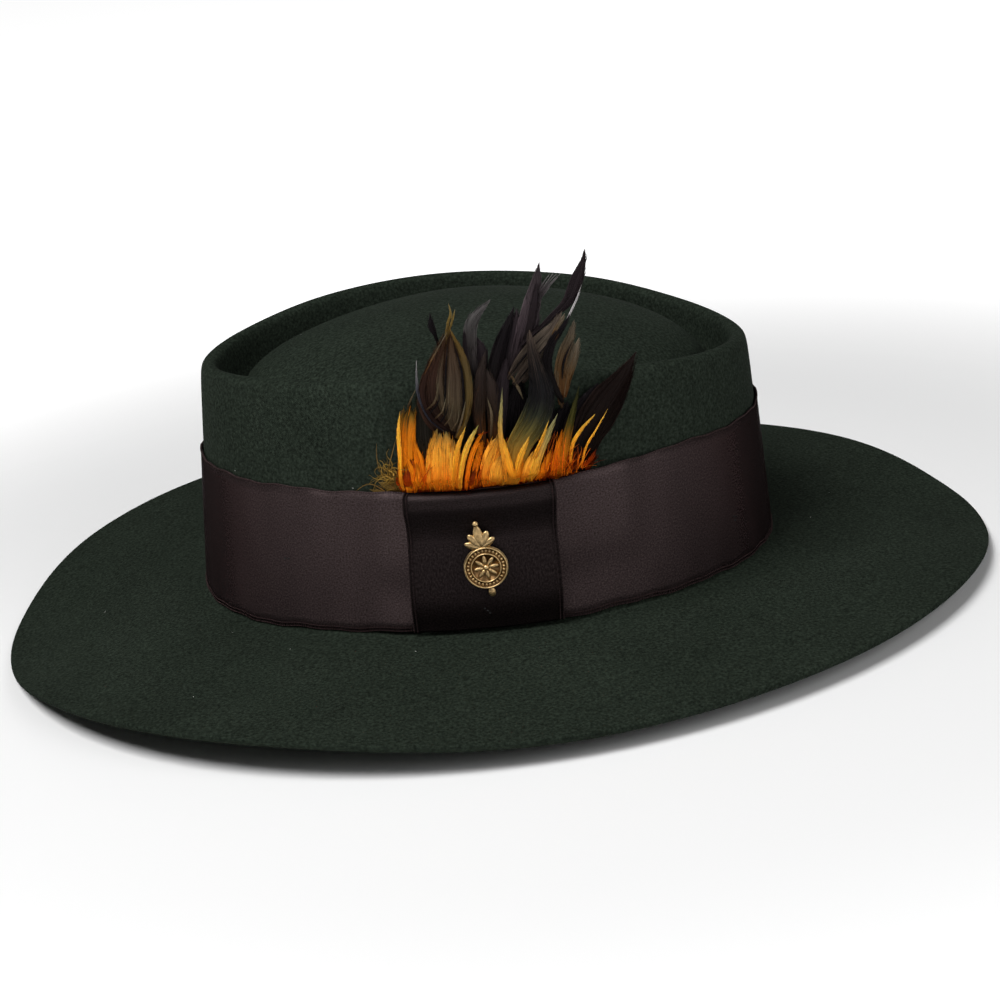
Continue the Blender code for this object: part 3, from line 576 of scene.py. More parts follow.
# How light a colour is at these values of a noise. Those of "polish" are roughnesses. Those of "edges" are
# shares of bright metal, by how proud an edge stands.
TONES = {
    "clouds": ((0.3, 0.82), (0.7, 1.0)),
    "mottle": ((0.32, 0.45), (0.5, 1.0), (0.68, 1.75)),
    "weave": ((0.32, 0.45), (0.5, 1.0), (0.68, 1.7)),
    "wear": ((0.3, 0.86), (0.7, 1.0)),
    "loops": ((0.4, 0.5), (0.6, 1.3)),
    "thread": ((0.45, 0.004), (0.6, 0.05)),
    "streaks": ((0.25, 0.75), (0.5, 1.0), (0.75, 1.25)),
    "bands": ((0.3, 0.8), (0.65, 1.1)),
    "patches": ((0.35, 0.65), (0.65, 1.0)),
    "polish": ((0.3, 0.5), (0.7, 0.3)),
    "edges": ((0.46, 0.0), (0.54, 1.0)),
}

# The numbers of a mix node's sockets for colours
MIX_ONE = 6
MIX_OTHER = 7
MIX_RESULT = 2

# Lint on the felt: a speck's radius as a share of its cell, the share of cells without one, and its colour
LINT_RADIUS = 0.028
LINT_RARITY = 0.72
LINT_COLOR = (0.35, 0.36, 0.33, 1)

# The camera: how it looks at the hat
SENSOR = 36.0
LENS = 74.28
CAMERA_AIM = Vector((0.00305, 0.0, 0.029))
CAMERA_DISTANCE = 0.7496
CAMERA_RISE = 0.3293
CAMERA_YAW = -0.0916
CAMERA_ROLL = 0.1140
FRAME = 1000

# The stage. The floor turns as white as the background between FLOOR_NEAR and FLOOR_FAR from the hat.
Lamp = namedtuple("Lamp", "name size place")
LAMPS = (
    Lamp(name="key", size=0.8, place=(-0.6, -0.5, 1.4)),
    Lamp(name="fill", size=1.0, place=(0.9, -1.0, 0.8)),
    Lamp(name="back", size=1.0, place=(0.2, 1.4, 0.35)),
)
LIGHT_AIM = (0.0, 0.0, 0.05)
FLOOR_SIZE = 6
FLOOR_NEAR = 0.22
FLOOR_FAR = 0.65
WHITE = (1, 1, 1, 1)


def between(table, share):
    """Values of a table of (share, value) rows, evenly in between."""
    places, values = zip(*table)
    return np.interp(share, places, values)


def ease(share):
    """A smooth step from 0 to 1."""
    share = np.clip(share, 0.0, 1.0)
    return share * share * (3 - 2 * share)


def smooth(before, here, there, after, share):
    """Values a share of the way from here to there, on a smooth curve through all four."""
    bend = 2 * before - 5 * here + 4 * there - after
    twist = 3 * (here - there) + after - before
    return here + 0.5 * share * (there - before + share * (bend + share * twist))


def curve(points, share):
    """Points of a smooth curve through these ones, at shares of the way along it."""
    points = np.asarray(points, float)
    ends = (2 * points[0] - points[1], 2 * points[-1] - points[-2])
    points = np.vstack((ends[0], points, ends[1]))
    last = len(points) - 3
    place = np.clip(np.asarray(share, float), 0, 1) * last
    start = np.minimum(place.astype(int), last - 1)
    return smooth(*(points[start + step] for step in range(4)), (place - start)[..., None])


def mixed(one, other, share):
    share = np.asarray(share)[..., None]
    return one + (other - one) * share


def unit(vectors):
    return vectors / np.linalg.norm(vectors, axis=-1, keepdims=True)


def station_value(column, angle):
    """A column of STATIONS at any angles, as a smooth curve that is level at the back and the front."""
    values = np.array([getattr(station, column) for station in STATIONS])
    last = len(values) - 1
    place = np.abs((np.asarray(angle, float) + 180) % 360 - 180) / STATION_STEP
    start = np.minimum(place.astype(int), last - 1)
    near = (values[last - np.abs(last - np.abs(start + step))] for step in (-1, 0, 1, 2))
    return smooth(*near, place - start)


def steps_between(points):
    """The lengths of the steps from each point of a row to the next."""
    return np.linalg.norm(np.diff(points, axis=0), axis=-1)


def waves(table, turn, across):
    """The sum of a table's waves at angles round the hat, in radians, and at shares across a piece."""
    return sum(wave.size * np.sin(wave.turns * turn + wave.start + wave.across * across) for wave in table)


def ellipse(middle, half_length, half_width, angle, height):
    turn = np.radians(angle)
    across = middle + half_length * np.cos(turn)
    return np.stack((across, half_width * np.sin(turn), height + 0 * turn), axis=-1)


def brim_edge(angle):
    half_length = (CROWN_LENGTH + BRIM_FRONT + BRIM_BACK) / 2
    half_width = (CROWN_WIDTH / 2 + BRIM_SIDE) * station_value("brim_full", angle)
    return ellipse(0, half_length, half_width, angle, EDGE_RISE * station_value("edge", angle))


def crown_foot(angle):
    height = BREAK_HEIGHT * station_value("foot", angle)
    return ellipse((BRIM_FRONT - BRIM_BACK) / 2, CROWN_LENGTH / 2, CROWN_WIDTH / 2, angle, height)


def rim_top(angle):
    return crown_foot(angle)[..., 2] + CROWN_HEIGHT * station_value("crown", angle)


def rim_side(angle):
    middle = (BRIM_FRONT - BRIM_BACK + FRONT_LEAN - BACK_LEAN) / 2
    half_length = (CROWN_LENGTH - FRONT_LEAN - BACK_LEAN) / 2
    half_width = (CROWN_WIDTH / 2 - SIDE_LEAN) * station_value("rim_full", angle)
    return ellipse(middle, half_length, half_width, angle, rim_top(angle) - FOLD_RADIUS)


def dome_apex():
    return np.array((DOME_SHIFT, 0.0, BREAK_HEIGHT + CROWN_HEIGHT + DOME_RISE))


def inward(angle):
    way = dome_apex() - rim_side(angle)
    way[..., 2] = 0
    return unit(way)


def at_height(points, height):
    points = points.copy()
    points[..., 2] = height
    return points


def dome_rows(angle):
    apex = dome_apex()
    edge = rim_side(angle) + inward(angle) * (FOLD_RADIUS + VALLEY_INSET)
    edge_height = rim_top(angle) - VALLEY_DEPTH
    rows = []
    for share in DOME_SHARES:
        fall = 1 - math.sqrt(1 - share**DOME_ROUNDNESS)
        rows.append(at_height(apex + (edge - apex) * share, apex[2] + (edge_height - apex[2]) * fall))
    return rows


def inner_wall_rows(angle):
    middle = rim_side(angle) + inward(angle) * FOLD_RADIUS
    return [
        at_height(middle + inward(angle) * VALLEY_INSET * inset, rim_top(angle) - VALLEY_DEPTH * drop)
        for inset, drop in INNER_WALL
    ]


def fold_rows(angle):
    middle = rim_side(angle) + inward(angle) * FOLD_RADIUS
    rows = []
    for degrees in FOLD_ANGLES:
        turn = math.radians(degrees)
        rise = np.array((0, 0, FOLD_RADIUS * math.sin(turn)))
        rows.append(middle + inward(angle) * FOLD_RADIUS * math.cos(turn) + rise)
    return rows


def brim_top(angle, share):
    foot = crown_foot(angle)
    edge = brim_edge(angle)
    share = np.asarray(share, float) + 0 * foot[..., 2]
    height = foot[..., 2] + (edge[..., 2] - foot[..., 2]) * share**BRIM_CURVE
    return at_height(mixed(foot, edge, share), np.maximum(height, FELT))


def brim_rows(angle):
    width = np.linalg.norm(brim_edge(angle) - crown_foot(angle), axis=-1)
    start = BREAK_RADIUS / width
    corner = brim_top(angle, start * (1 - math.sqrt(0.5)))
    corner[..., 2] += BREAK_RADIUS * (1 - math.sqrt(0.5))
    return [brim_top(angle, share) for share in BRIM_SHARES] + [brim_top(angle, start), corner]


def wall_rows(angle):
    bottom = wall_plan(angle, BREAK_RADIUS)
    return [bottom + (rim_side(angle) - bottom) * share for share in WALL_SHARES]


def felt_rows(angle):
    """The top surface of the felt at these angles, from the brim's edge to the dome's highest point."""
    outside = brim_rows(angle) + wall_rows(angle)
    return np.stack(outside + fold_rows(angle) + inner_wall_rows(angle) + dome_rows(angle))


def wall_plan(angle, height):
    foot = crown_foot(angle)
    top = rim_side(angle)
    return mixed(foot, top, height / (top[..., 2] - foot[..., 2]))


def wall_normal(angle, height):
    along = wall_plan(angle + ANGLE_STEP, height) - wall_plan(angle - ANGLE_STEP, height)
    return unit(np.cross(along, rim_side(angle) - crown_foot(angle)))


def wall_point(angle, height, offset):
    """Points that far outside the crown's outer wall."""
    return wall_plan(angle, height) + wall_normal(angle, height) * np.asarray(offset)[..., None]


def trim_arc():
    """Angles across the trimmed side, and the distances round the wall from its middle to them."""
    angles = TRIM_SIDE + np.arange(-TRIM_SPAN, TRIM_SPAN + ANGLE_STEP, ANGLE_STEP)
    points = wall_plan(angles, BAND_SEAT + RIBBON_WIDTH / 2)
    lengths = np.concatenate(((0.0,), np.cumsum(steps_between(points))))
    return angles, lengths - np.interp(TRIM_SIDE, angles, lengths)


TRIM_ANGLES, TRIM_LENGTHS = trim_arc()


def trim_angle(along):
    return np.interp(along, TRIM_LENGTHS, TRIM_ANGLES)


def trim_distance(angle):
    return np.interp(np.asarray(angle) % 360, TRIM_ANGLES, TRIM_LENGTHS)


def on_wall(places):
    """Points in space of (along, height, offset) places on the trimmed side."""
    return wall_point(trim_angle(places[..., 0]), places[..., 1], places[..., 2])


def band_top(angle):
    return BAND_SEAT + RIBBON_WIDTH * station_value("ribbon", angle)


def band_offset(along, height):
    """How far the band's inner face stands off the felt: it makes room for the plume's backing."""
    past_side = np.abs(along - PLUME_PLACE) - PLUME_WIDTH / 2 - POCKET_MARGIN
    past_bottom = band_top(trim_angle(along)) - PLUME_TUCK - POCKET_MARGIN - height
    room = (1 - ease(past_side / POCKET_EASE)) * (1 - ease(past_bottom / POCKET_EASE))
    return FIT_GAP + room * (PLUME_BACKING + FIT_GAP)


def new_object(name, mesh, material):
    """Adds a mesh as a smooth-shaded object of the hat."""
    mesh.materials.append(material)
    mesh.shade_smooth()
    thing = bpy.data.objects.new(name, mesh)
    bpy.context.scene.collection.objects.link(thing)
    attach(thing, BODY)
    return thing


def sheet(name, columns, rows, place, thickness):
    """A grid wrapped by place(column shares, row shares), with a UV map in shares, made that thick."""
    shape = bmesh.new()
    bmesh.ops.create_grid(shape, x_segments=columns, y_segments=rows, size=1)
    shares = np.array([vert.co for vert in shape.verts])[:, :2] / 2 + 0.5
    layer = shape.loops.layers.uv.new("Cloth")
    for face in shape.faces:
        for loop in face.loops:
            loop[layer].uv = shares[loop.vert.index]
    for vert, point in zip(shape.verts, place(shares[:, 0], shares[:, 1])):
        vert.co = point
    bmesh.ops.remove_doubles(shape, verts=shape.verts, dist=WELD)
    if thickness:
        bmesh.ops.solidify(shape, geom=shape.faces, thickness=thickness)
        bmesh.ops.recalc_face_normals(shape, faces=shape.faces)
    return to_mesh(name, shape)


def to_mesh(name, shape):
    mesh = bpy.data.meshes.new(name)
    shape.to_mesh(mesh)
    shape.free()
    return mesh


def rod_template(sides, steps):
    """A closed rod of radius 1 along Z from 0 to 1: its points, and its faces in triangles."""
    shape = bmesh.new()
    upright = Matrix.Translation((0, 0, 0.5))
    bmesh.ops.create_cone(
        shape, cap_ends=True, segments=sides, radius1=1, radius2=1, depth=1, matrix=upright
    )
    for step in range(1, steps):
        cut = Vector((0, 0, step / steps))
        geometry = shape.verts[:] + shape.edges[:] + shape.faces[:]
        bmesh.ops.bisect_plane(shape, geom=geometry, plane_co=cut, plane_no=Vector((0, 0, 1)))
    bmesh.ops.triangulate(shape, faces=shape.faces)
    return template(shape)


def bead_template():
    """A small round bead of radius 1."""
    shape = bmesh.new()
    bmesh.ops.create_icosphere(shape, subdivisions=1, radius=1)
    return template(shape)


def template(shape):
    shape.verts.ensure_lookup_table()
    points = np.array([vert.co for vert in shape.verts])
    faces = np.array([[vert.index for vert in face.verts] for face in shape.faces])
    shape.free()
    return points, faces


def repeated(name, faces, blocks):
    """One mesh of many copies of a template's faces, with a block of points for each copy."""
    count, points = blocks.shape[:2]
    corners = faces[None] + points * np.arange(count)[:, None, None]
    mesh = bpy.data.meshes.new(name)
    mesh.from_pydata(blocks.reshape(-1, 3).tolist(), [], corners.reshape(-1, faces.shape[1]).tolist())
    return mesh


LEAF = rod_template(LEAF_SIDES, LEAF_STEPS)
BARB = rod_template(3, BARB_STEPS)
STRAND = rod_template(3, STRAND_STEPS)
CURL = rod_template(4, CURL_STEPS)


def feed(material, node, inputs):
    """Gives each named or numbered input of a node a value or a link."""
    for key, value in inputs.items():
        if isinstance(value, bpy.types.NodeSocket):
            material.node_tree.links.new(value, node.inputs[key])
        else:
            node.inputs[key].default_value = value
    return node


def new_material(name):
    """A material and its shader, with the finish that FINISHES gives it."""
    material = bpy.data.materials.new(name)
    material.use_nodes = True
    return material, feed(material, material.node_tree.nodes["Principled BSDF"], FINISHES[name])


def add_node(material, kind, inputs=None, **settings):
    """Adds a shader node with these inputs and options."""
    node = material.node_tree.nodes.new(kind)
    for key, value in settings.items():
        setattr(node, key, value)
    return feed(material, node, inputs or {})


def object_place(material):
    return add_node(material, "ShaderNodeTexCoord").outputs["Object"]


def stretched(material, place, scale):
    return add_node(material, "ShaderNodeMapping", {"Vector": place, "Scale": scale}).outputs["Vector"]


def cloth_place(material, scale):
    uv = add_node(material, "ShaderNodeUVMap", uv_map="Cloth").outputs["UV"]
    return stretched(material, uv, scale)


def noise(material, place, name, size=1.0):
    """The values of one of the GRAINS, with its waves counted in a size."""
    grain = GRAINS[name]
    inputs = {"Scale": grain.scale / size, "Detail": grain.detail, "Roughness": grain.roughness}
    return add_node(material, "ShaderNodeTexNoise", {"Vector": place, **inputs}).outputs["Fac"]


def toned(material, value, name, color=(1, 1, 1)):
    """A colour, lighter and darker with a value as a row of TONES says."""
    node = add_node(material, "ShaderNodeValToRGB", {"Fac": value})
    elements = node.color_ramp.elements
    while len(elements) < len(TONES[name]):
        elements.new(0.5)
    for element, (place, tone) in zip(elements, TONES[name]):
        element.position = place
        element.color = rgba(color, tone)
    return node.outputs["Color"]


def mix(material, share, one, other, blend="MIX"):
    inputs = {"Factor": share, MIX_ONE: one, MIX_OTHER: other}
    node = add_node(material, "ShaderNodeMix", inputs, data_type="RGBA", blend_type=blend)
    return node.outputs[MIX_RESULT]


def times(material, one, other):
    return mix(material, 1.0, one, other, "MULTIPLY")


def math_of(material, operation, *values):
    return add_node(material, "ShaderNodeMath", dict(enumerate(values)), operation=operation).outputs[0]


def bump(material, height, name, normal=None):
    """The normal that a noise makes with its bump in GRAINS, on top of another bump's if there is one."""
    grain = GRAINS[name]
    inputs = {"Height": height, "Distance": grain.distance, "Strength": grain.strength}
    if normal is not None:
        inputs["Normal"] = normal
    return add_node(material, "ShaderNodeBump", inputs).outputs["Normal"]


def rgba(color, factor=1.0):
    return tuple(channel * factor for channel in color) + (1.0,)


def felt_material(settings):
    """Short-nap wool felt: mottled at a millimetre, finer in its fibres, with a few pale specks of lint."""
    material, shader = new_material("green_felt")
    place = object_place(material)
    clouds = noise(material, place, "clouds")
    mottle = noise(material, place, "mottle", settings.nap)
    fibres = noise(material, place, "fibres", settings.nap)
    tone = toned(material, mottle, "mottle", settings.color)
    shaded = times(material, tone, toned(material, clouds, "clouds"))
    cells = add_node(material, "ShaderNodeTexVoronoi", {"Vector": place, "Scale": settings.specks})
    near = math_of(material, "LESS_THAN", cells.outputs["Distance"], LINT_RADIUS)
    chosen = math_of(material, "GREATER_THAN", cells.outputs["Color"], LINT_RARITY)
    speck = math_of(material, "MULTIPLY", near, chosen)
    color = mix(material, speck, shaded, LINT_COLOR)
    normal = bump(material, fibres, "fibres", bump(material, mottle, "mottle"))
    feed(material, shader, {"Base Color": color, "Normal": normal})
    return material


def satin_material(name, color, settings, size):
    """Ribbon cloth of a length and a width, in a fine speckled weave."""
    material, shader = new_material(name)
    length, width = size
    threads = cloth_place(material, (length / settings.weave, width / settings.weave, 1))
    weave = noise(material, threads, "weave")
    worn = cloth_place(material, (length * WEAR_SCALE[0], width * WEAR_SCALE[1], 1))
    wear = toned(material, noise(material, worn, "wear"), "wear")
    color = times(material, toned(material, weave, "weave", color), wear)
    way = add_node(material, "ShaderNodeTangent", direction_type="UV_MAP", uv_map="Cloth").outputs["Tangent"]
    feed(material, shader, {"Base Color": color, "Normal": bump(material, weave, "weave"), "Tangent": way})
    return material


def loop_material(name, color):
    """The small loops along a ribbon's edge, a little darker and redder than its face."""
    material, shader = new_material(name)
    twist = noise(material, object_place(material), "loops")
    tone = tuple(channel * share for channel, share in zip(color, LOOP_TONE))
    feed(material, shader, {"Base Color": toned(material, twist, "loops", tone)})
    return material


def thread_material():
    """Sewing thread: near black, with a lighter twist."""
    material, shader = new_material("thread")
    twist = noise(material, object_place(material), "thread")
    feed(material, shader, {"Base Color": toned(material, twist, "thread")})
    return material


def feather_material():
    """Feather: tinted along each lock, streaked by its barbs, with a soft gloss."""
    material, shader = new_material("feather")
    tint = add_node(material, "ShaderNodeVertexColor", layer_name="Tint").outputs["Color"]
    barb = add_node(material, "ShaderNodeAttribute", attribute_name="Barb").outputs["Vector"]
    streaks = noise(material, stretched(material, barb, STREAK_SCALE), "streaks")
    bands = noise(material, stretched(material, barb, BAND_SCALE), "bands")
    streaked = times(material, tint, toned(material, streaks, "streaks"))
    color = times(material, streaked, toned(material, bands, "bands"))
    normal = bump(material, streaks, "streaks", bump(material, bands, "bands"))
    feed(material, shader, {"Base Color": color, "Normal": normal})
    return material


def brass_material(settings):
    """Antique brass: bright where it stands proud, brown and dull in its hollows."""
    material, shader = new_material("badge_brass")
    patches = noise(material, object_place(material), "patches")
    edges = add_node(material, "ShaderNodeNewGeometry").outputs["Pointiness"]
    proud = toned(material, edges, "edges")
    metal = mix(material, proud, rgba(settings.tarnish), rgba(settings.color))
    color = times(material, metal, toned(material, patches, "patches"))
    polish = toned(material, patches, "polish")
    normal = bump(material, patches, "patches")
    feed(material, shader, {"Base Color": color, "Roughness": polish, "Normal": normal})
    return material


def color_setting(name, description, default):
    return FloatVectorProperty(name=name, description=description, subtype="COLOR", default=default)


def length_setting(name, description, default, least=0.0):
    return FloatProperty(name=name, description=description, unit="LENGTH", default=default, min=least)


def power_setting(name, description, default):
    return FloatProperty(name=name, description=description, unit="POWER", default=default)


class FeltSettings(bpy.types.PropertyGroup):
    color: color_setting("Felt", "Colour of the felt", (0.0174, 0.0234, 0.0171))
    nap: length_setting("Nap", "Size of the felt's mottling", 0.0009, 0.0002)
    waver: length_setting("Waver", "How far the felt strays from its block", 0.0004)
    specks: FloatProperty(name="Specks", description="Cells of lint in each metre", default=120.0, min=1.0)


class RibbonSettings(bpy.types.PropertyGroup):
    band_color: color_setting("Band", "Colour of the band", (0.058, 0.042, 0.042))
    # The keeper is the band's own ribbon; its darker colour is painted shade for the weaker sheen of its
    # upright threads.
    keeper_color: color_setting("Keeper", "Colour of the keeper", (0.026, 0.0195, 0.0195))
    weave: length_setting("Weave", "Size of the weave's grain", 0.0005, 0.0001)
    picot: length_setting("Picot", "Distance between edge loops", 0.0008, 0.0004)


class PlumeSettings(bpy.types.PropertyGroup):
    barb_gap: length_setting("Barb gap", "Distance between fringe barbs", 0.0011, 0.0003)
    loose_barbs: IntProperty(name="Loose barbs", description="Bare barbs at the foot", default=260, min=0)
    fluff: IntProperty(name="Fluff", description="Curled threads of fluff at the front", default=44, min=0)
    seed: IntProperty(name="Seed", description="Start of the random draws", default=4)


class BadgeSettings(bpy.types.PropertyGroup):
    color: color_setting("Brass", "Colour of the bright brass", (0.72, 0.5, 0.24))
    tarnish: color_setting("Tarnish", "Colour of the hollows", (0.2, 0.115, 0.05))
    beads: IntProperty(name="Beads", description="Beads between the rings", default=30, min=0)


class StageSettings(bpy.types.PropertyGroup):
    floor_color: color_setting("Floor", "Colour of the floor", (0.9, 0.9, 0.9))
    sky: FloatProperty(name="Sky", description="Strength of the light all round", default=0.05, min=0.0)
    key_power: power_setting("Key light", "Power of the high light at the left", 24.0)
    fill_power: power_setting("Fill light", "Power of the light at the right", 7.6)
    back_power: power_setting("Back light", "Power of the low light behind", 2.5)


def add_felt_body(settings):
    """The crown and the brim in one piece of felt, a little uneven as hand-blocked felt is."""
    angles = 360 * np.arange(SEGMENTS) / SEGMENTS
    sections = felt_rows(angles)
    rings = len(sections) - 1

    def place(column, row):
        segment = np.round(column * SEGMENTS).astype(int) % SEGMENTS
        ring = np.round(row * rings).astype(int)
        return sections[ring, segment] + felt_waver(angles[segment], row, settings.waver)

    mesh = sheet("felt", SEGMENTS, rings, place, 0)
    felt = new_object("felt", mesh, felt_material(settings))
    wall = felt.modifiers.new("wall", "SOLIDIFY")
    wall.thickness = FELT
    wall.offset = -1
    smooth = felt.modifiers.new("smooth", "SUBSURF")
    smooth.levels = FELT_LEVELS
    smooth.render_levels = FELT_LEVELS
    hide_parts("felt_body")
    return felt


def felt_waver(angle, row, amount):
    """Small level-and-height strays of the felt, none at the brim's edge or the dome's top."""
    turn = np.radians(angle)
    free = np.sin(math.pi * row) ** 0.5
    inout = waves(FELT_INOUT, turn, row)
    away = np.stack((np.cos(turn) * inout, np.sin(turn) * inout, waves(FELT_RISE, turn, row)), axis=-1)
    return away * (amount * free / 2)[:, None]


def add_ribbon_band(settings):
    mesh = sheet("band", BAND_COLUMNS, BAND_ROWS, band_place, -CLOTH)
    size = (band_length(), RIBBON_WIDTH)
    material = satin_material("satin_ribbon", settings.band_color, settings, size)
    band = new_object("band", mesh, material)
    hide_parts("ribbon_band")
    return band


def band_length():
    """The length of the ribbon round the foot of the crown."""
    angles = np.linspace(0, 360, 2 * BAND_COLUMNS)
    return float(steps_between(wall_plan(angles, BAND_SEAT + RIBBON_WIDTH / 2)).sum())


def band_place(column, row):
    """The band's inner face: it flares at its foot beside the keeper, which draws it in."""
    angle = 360 * column
    along = trim_distance(angle)
    beside = np.abs(along - KEEPER_PLACE) - KEEPER_WIDTH / 2
    drawn = 1 - ease(1 + beside / PULL_REACH)
    low = ease(1 - row / FLARE_RISE)
    height = BAND_SEAT + (band_top(angle) - BAND_SEAT) * row + BAND_PULL * drawn * low
    edge = waves(BAND_EDGE, math.tau * column, row)
    flare = BAND_FLARE * ease(1 - beside / FLARE_REACH) * (1 - drawn) * low
    return wall_point(angle, height + edge * (2 * row - 1), band_offset(along, height) + flare)


def edge_beads(name, rows, normal_rows, picot, material):
    """Rows of small beads, half sunk in the cloth: the loops along a ribbon's edge."""
    points, faces = bead_template()
    middles = np.concatenate(rows) + np.concatenate(normal_rows) * CLOTH
    return new_object(name, repeated(name, faces, middles[:, None] + points * picot * LOOP_RADIUS), material)


def band_picots(settings, material):
    """The looped edges of the band: two rows of beads at its foot and one at its top."""
    count = int(band_length() / settings.picot)
    column = np.arange(count) / count
    angles = 360 * column
    rows = [band_place(column, np.full(count, share)) for share in BAND_PICOTS]
    normals = [wall_normal(angles, BAND_SEAT + RIBBON_WIDTH * share) for share in BAND_PICOTS]
    picots = edge_beads("band_picots", rows, normals, settings.picot, material)
    return picots


def tacks():
    """Small knots of thread on the band and the keeper."""
    places = [(along, height, band_offset(along, height) + BAND_KNOT_RISE * CLOTH) for along, height in TACKS]
    for along, share in KEEPER_TACKS:
        height, offset = keeper_place(along, share)
        places.append((along, height, offset + KEEPER_KNOT_RISE * CLOTH))
    points, faces = bead_template()
    blocks = on_wall(np.array(places))[:, None] + points * np.array(KNOT)
    knots = new_object("tacks", repeated("tacks", faces, blocks), thread_material())
    return knots


def keeper_place(along, row):
    """The height and offset of the keeper's outer face at shares of the way from its lip to its foot."""
    top = band_top(trim_angle(along))
    back = band_offset(along, top) + RIBBON_THICKNESS + FIT_GAP
    profile = curve(KEEPER_FOLDS, row)
    return BAND_SEAT + (top - BAND_SEAT) * profile[..., 0], back + KEEPER_PUFF * profile[..., 1]


def add_ribbon_keeper(settings):
    def place(column, row):
        along = KEEPER_PLACE + KEEPER_WIDTH * (column - 0.5)
        height, offset = keeper_place(along, row)
        return on_wall(np.stack((along, height, offset), axis=-1))

    mesh = sheet("keeper", KEEPER_COLUMNS, KEEPER_ROWS, place, -CLOTH)
    size = (KEEPER_WIDTH, RIBBON_WIDTH)
    # The keeper's colour holds painted shade: darker than the band's for the weaker sheen of its upright
    # threads.
    material = satin_material("keeper_satin", settings.keeper_color, settings, size)
    keeper = new_object("keeper", mesh, material)
    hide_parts("ribbon_keeper")
    return keeper


def keeper_picots(settings, material):
    """The looped edges of the keeper, up both of its sides."""
    count = int(KEEPER_FLAT / settings.picot)
    row = np.arange(count) / count
    rows = []
    normals = []
    for side in (-1, 1):
        for inset in KEEPER_PICOTS:
            along = np.full(count, KEEPER_PLACE + side * (KEEPER_WIDTH / 2 - inset))
            height, offset = keeper_place(along, row)
            rows.append(on_wall(np.stack((along, height, offset), axis=-1)))
            normals.append(wall_normal(trim_angle(along), height))
    picots = edge_beads("keeper_picots", rows, normals, settings.picot, material)
    return picots


def camera_axes():
    """The camera's own right, up and back, rolled a little."""
    level = math.cos(CAMERA_RISE)
    back = Vector((math.sin(CAMERA_YAW) * level, -math.cos(CAMERA_YAW) * level, math.sin(CAMERA_RISE)))
    right = (-back).cross(Vector((0, 0, 1))).normalized()
    upwards = right.cross(-back)
    cosine = math.cos(CAMERA_ROLL)
    sine = math.sin(CAMERA_ROLL)
    return cosine * right - sine * upwards, sine * right + cosine * upwards, back


def chart_seen(points):
    """The chart's squares where the camera sees points in space."""
    right, upwards, back = camera_axes()
    away = points - np.array(CAMERA_AIM + CAMERA_DISTANCE * back)
    scale = FRAME * LENS / SENSOR / -(away @ np.array(back))
    across = FRAME / 2 + scale * (away @ np.array(right))
    down = FRAME / 2 - scale * (away @ np.array(upwards))
    return (np.stack((across, down), axis=-1) - CHART_CORNER) / CHART_SQUARE


def chart_place(points, offset):
    """Wall places (along, height) of points on the plume's chart that lie out by an offset."""
    points = np.asarray(points, float)
    step = np.array((CHART_UNIT, -CHART_UNIT))
    places = np.array((CHART_LEFT, CHART_TOP)) + points * step
    for _ in range(CHART_TRIES):
        places = places + step * (points - chart_seen(plume_points(places, offset)))
    return places


@cache
def lock_spine(lock):
    """The points of a lock's middle, as places on the wall."""
    return chart_place(lock.spine, PLUME_LAYER * lock.layer)


def plume_lift(places):
    """How far a place has risen out of the band, from 0 at the band's top to 1."""
    return ease((places[..., 1] - band_top(trim_angle(places[..., 0]))) / PLUME_SPREAD)


def plume_points(places, offset):
    """Points in space of places on the chart's wall, lying out by an offset that grows above the band."""
    out = FIT_GAP + PLUME_BACKING / 2 + plume_lift(places) * offset
    return on_wall(np.stack((places[..., 0], places[..., 1], out), axis=-1))


def spine_frame(spine, share):
    """Middle places, ways along and ways across a lock at shares of its length."""
    middle = curve(spine, share)
    way = unit(curve(spine, share + SHARE_STEP) - curve(spine, share - SHARE_STEP))
    return middle, way, np.stack((-way[..., 1], way[..., 0]), axis=-1)


def tint_at(name, share):
    stops = np.array(TINTS[name])
    places = np.linspace(0, 1, len(stops))
    return np.stack([np.interp(share, places, channel) for channel in stops.T], axis=-1)


def half_widths(lock, share):
    """Half of a lock's full width, and its half width at shares of its length."""
    full = CHART_UNIT * lock.width / 2
    return full, full * between(OUTLINES[lock.outline], share)


def lock_out(lock, half, side, cup):
    """How far out a lock lies at places across it, from -1 to 1, by its layer, its cup and its turn."""
    relief = half / (1 + half / RELIEF_LIMIT)
    return PLUME_LAYER * lock.layer + relief * (cup + lock.turn * side)


def lock_block(lock, draw):
    """A lock's points, tints and barb places: a flat closed leaf, cupped and turned about its middle."""
    points, _ = LEAF
    spine = lock_spine(lock)
    side = points[:, 0]
    share = points[:, 2]
    middle, _, across = spine_frame(spine, share)
    full, half = half_widths(lock, share)
    places = middle + across * (half * side)[:, None]
    ripple = RIPPLE * np.sin(side * RIPPLES + draw.uniform(*ANY_PHASE)) * half / full
    out = lock_out(lock, half, side, CUP * (1 - side**2)) + ripple
    block = plume_points(places, out + LEAF_THICKNESS / 2 * points[:, 1])
    length = steps_between(spine).sum()
    splay = np.radians(STREAK_SPLAY)
    reach = np.abs(half * side)
    barb = share * length * math.sin(splay) - reach * math.cos(splay)
    along = share * length * math.cos(splay) + reach * math.sin(splay)
    shift = draw.uniform(0, 1)
    tint = tint_at(lock.tint, np.clip(share + TINT_LEAD * np.abs(side), 0, 1))
    # Past MARGIN_START the margins are lighter: a painted highlight along the lock's edges.
    margin = ease((np.abs(side[:, None]) - MARGIN_START) / (1 - MARGIN_START))
    tone = INNER_TONE + MARGIN_HIGHLIGHT * margin
    return block, tint * tone, np.stack((barb + shift, along, 0 * share), axis=-1)


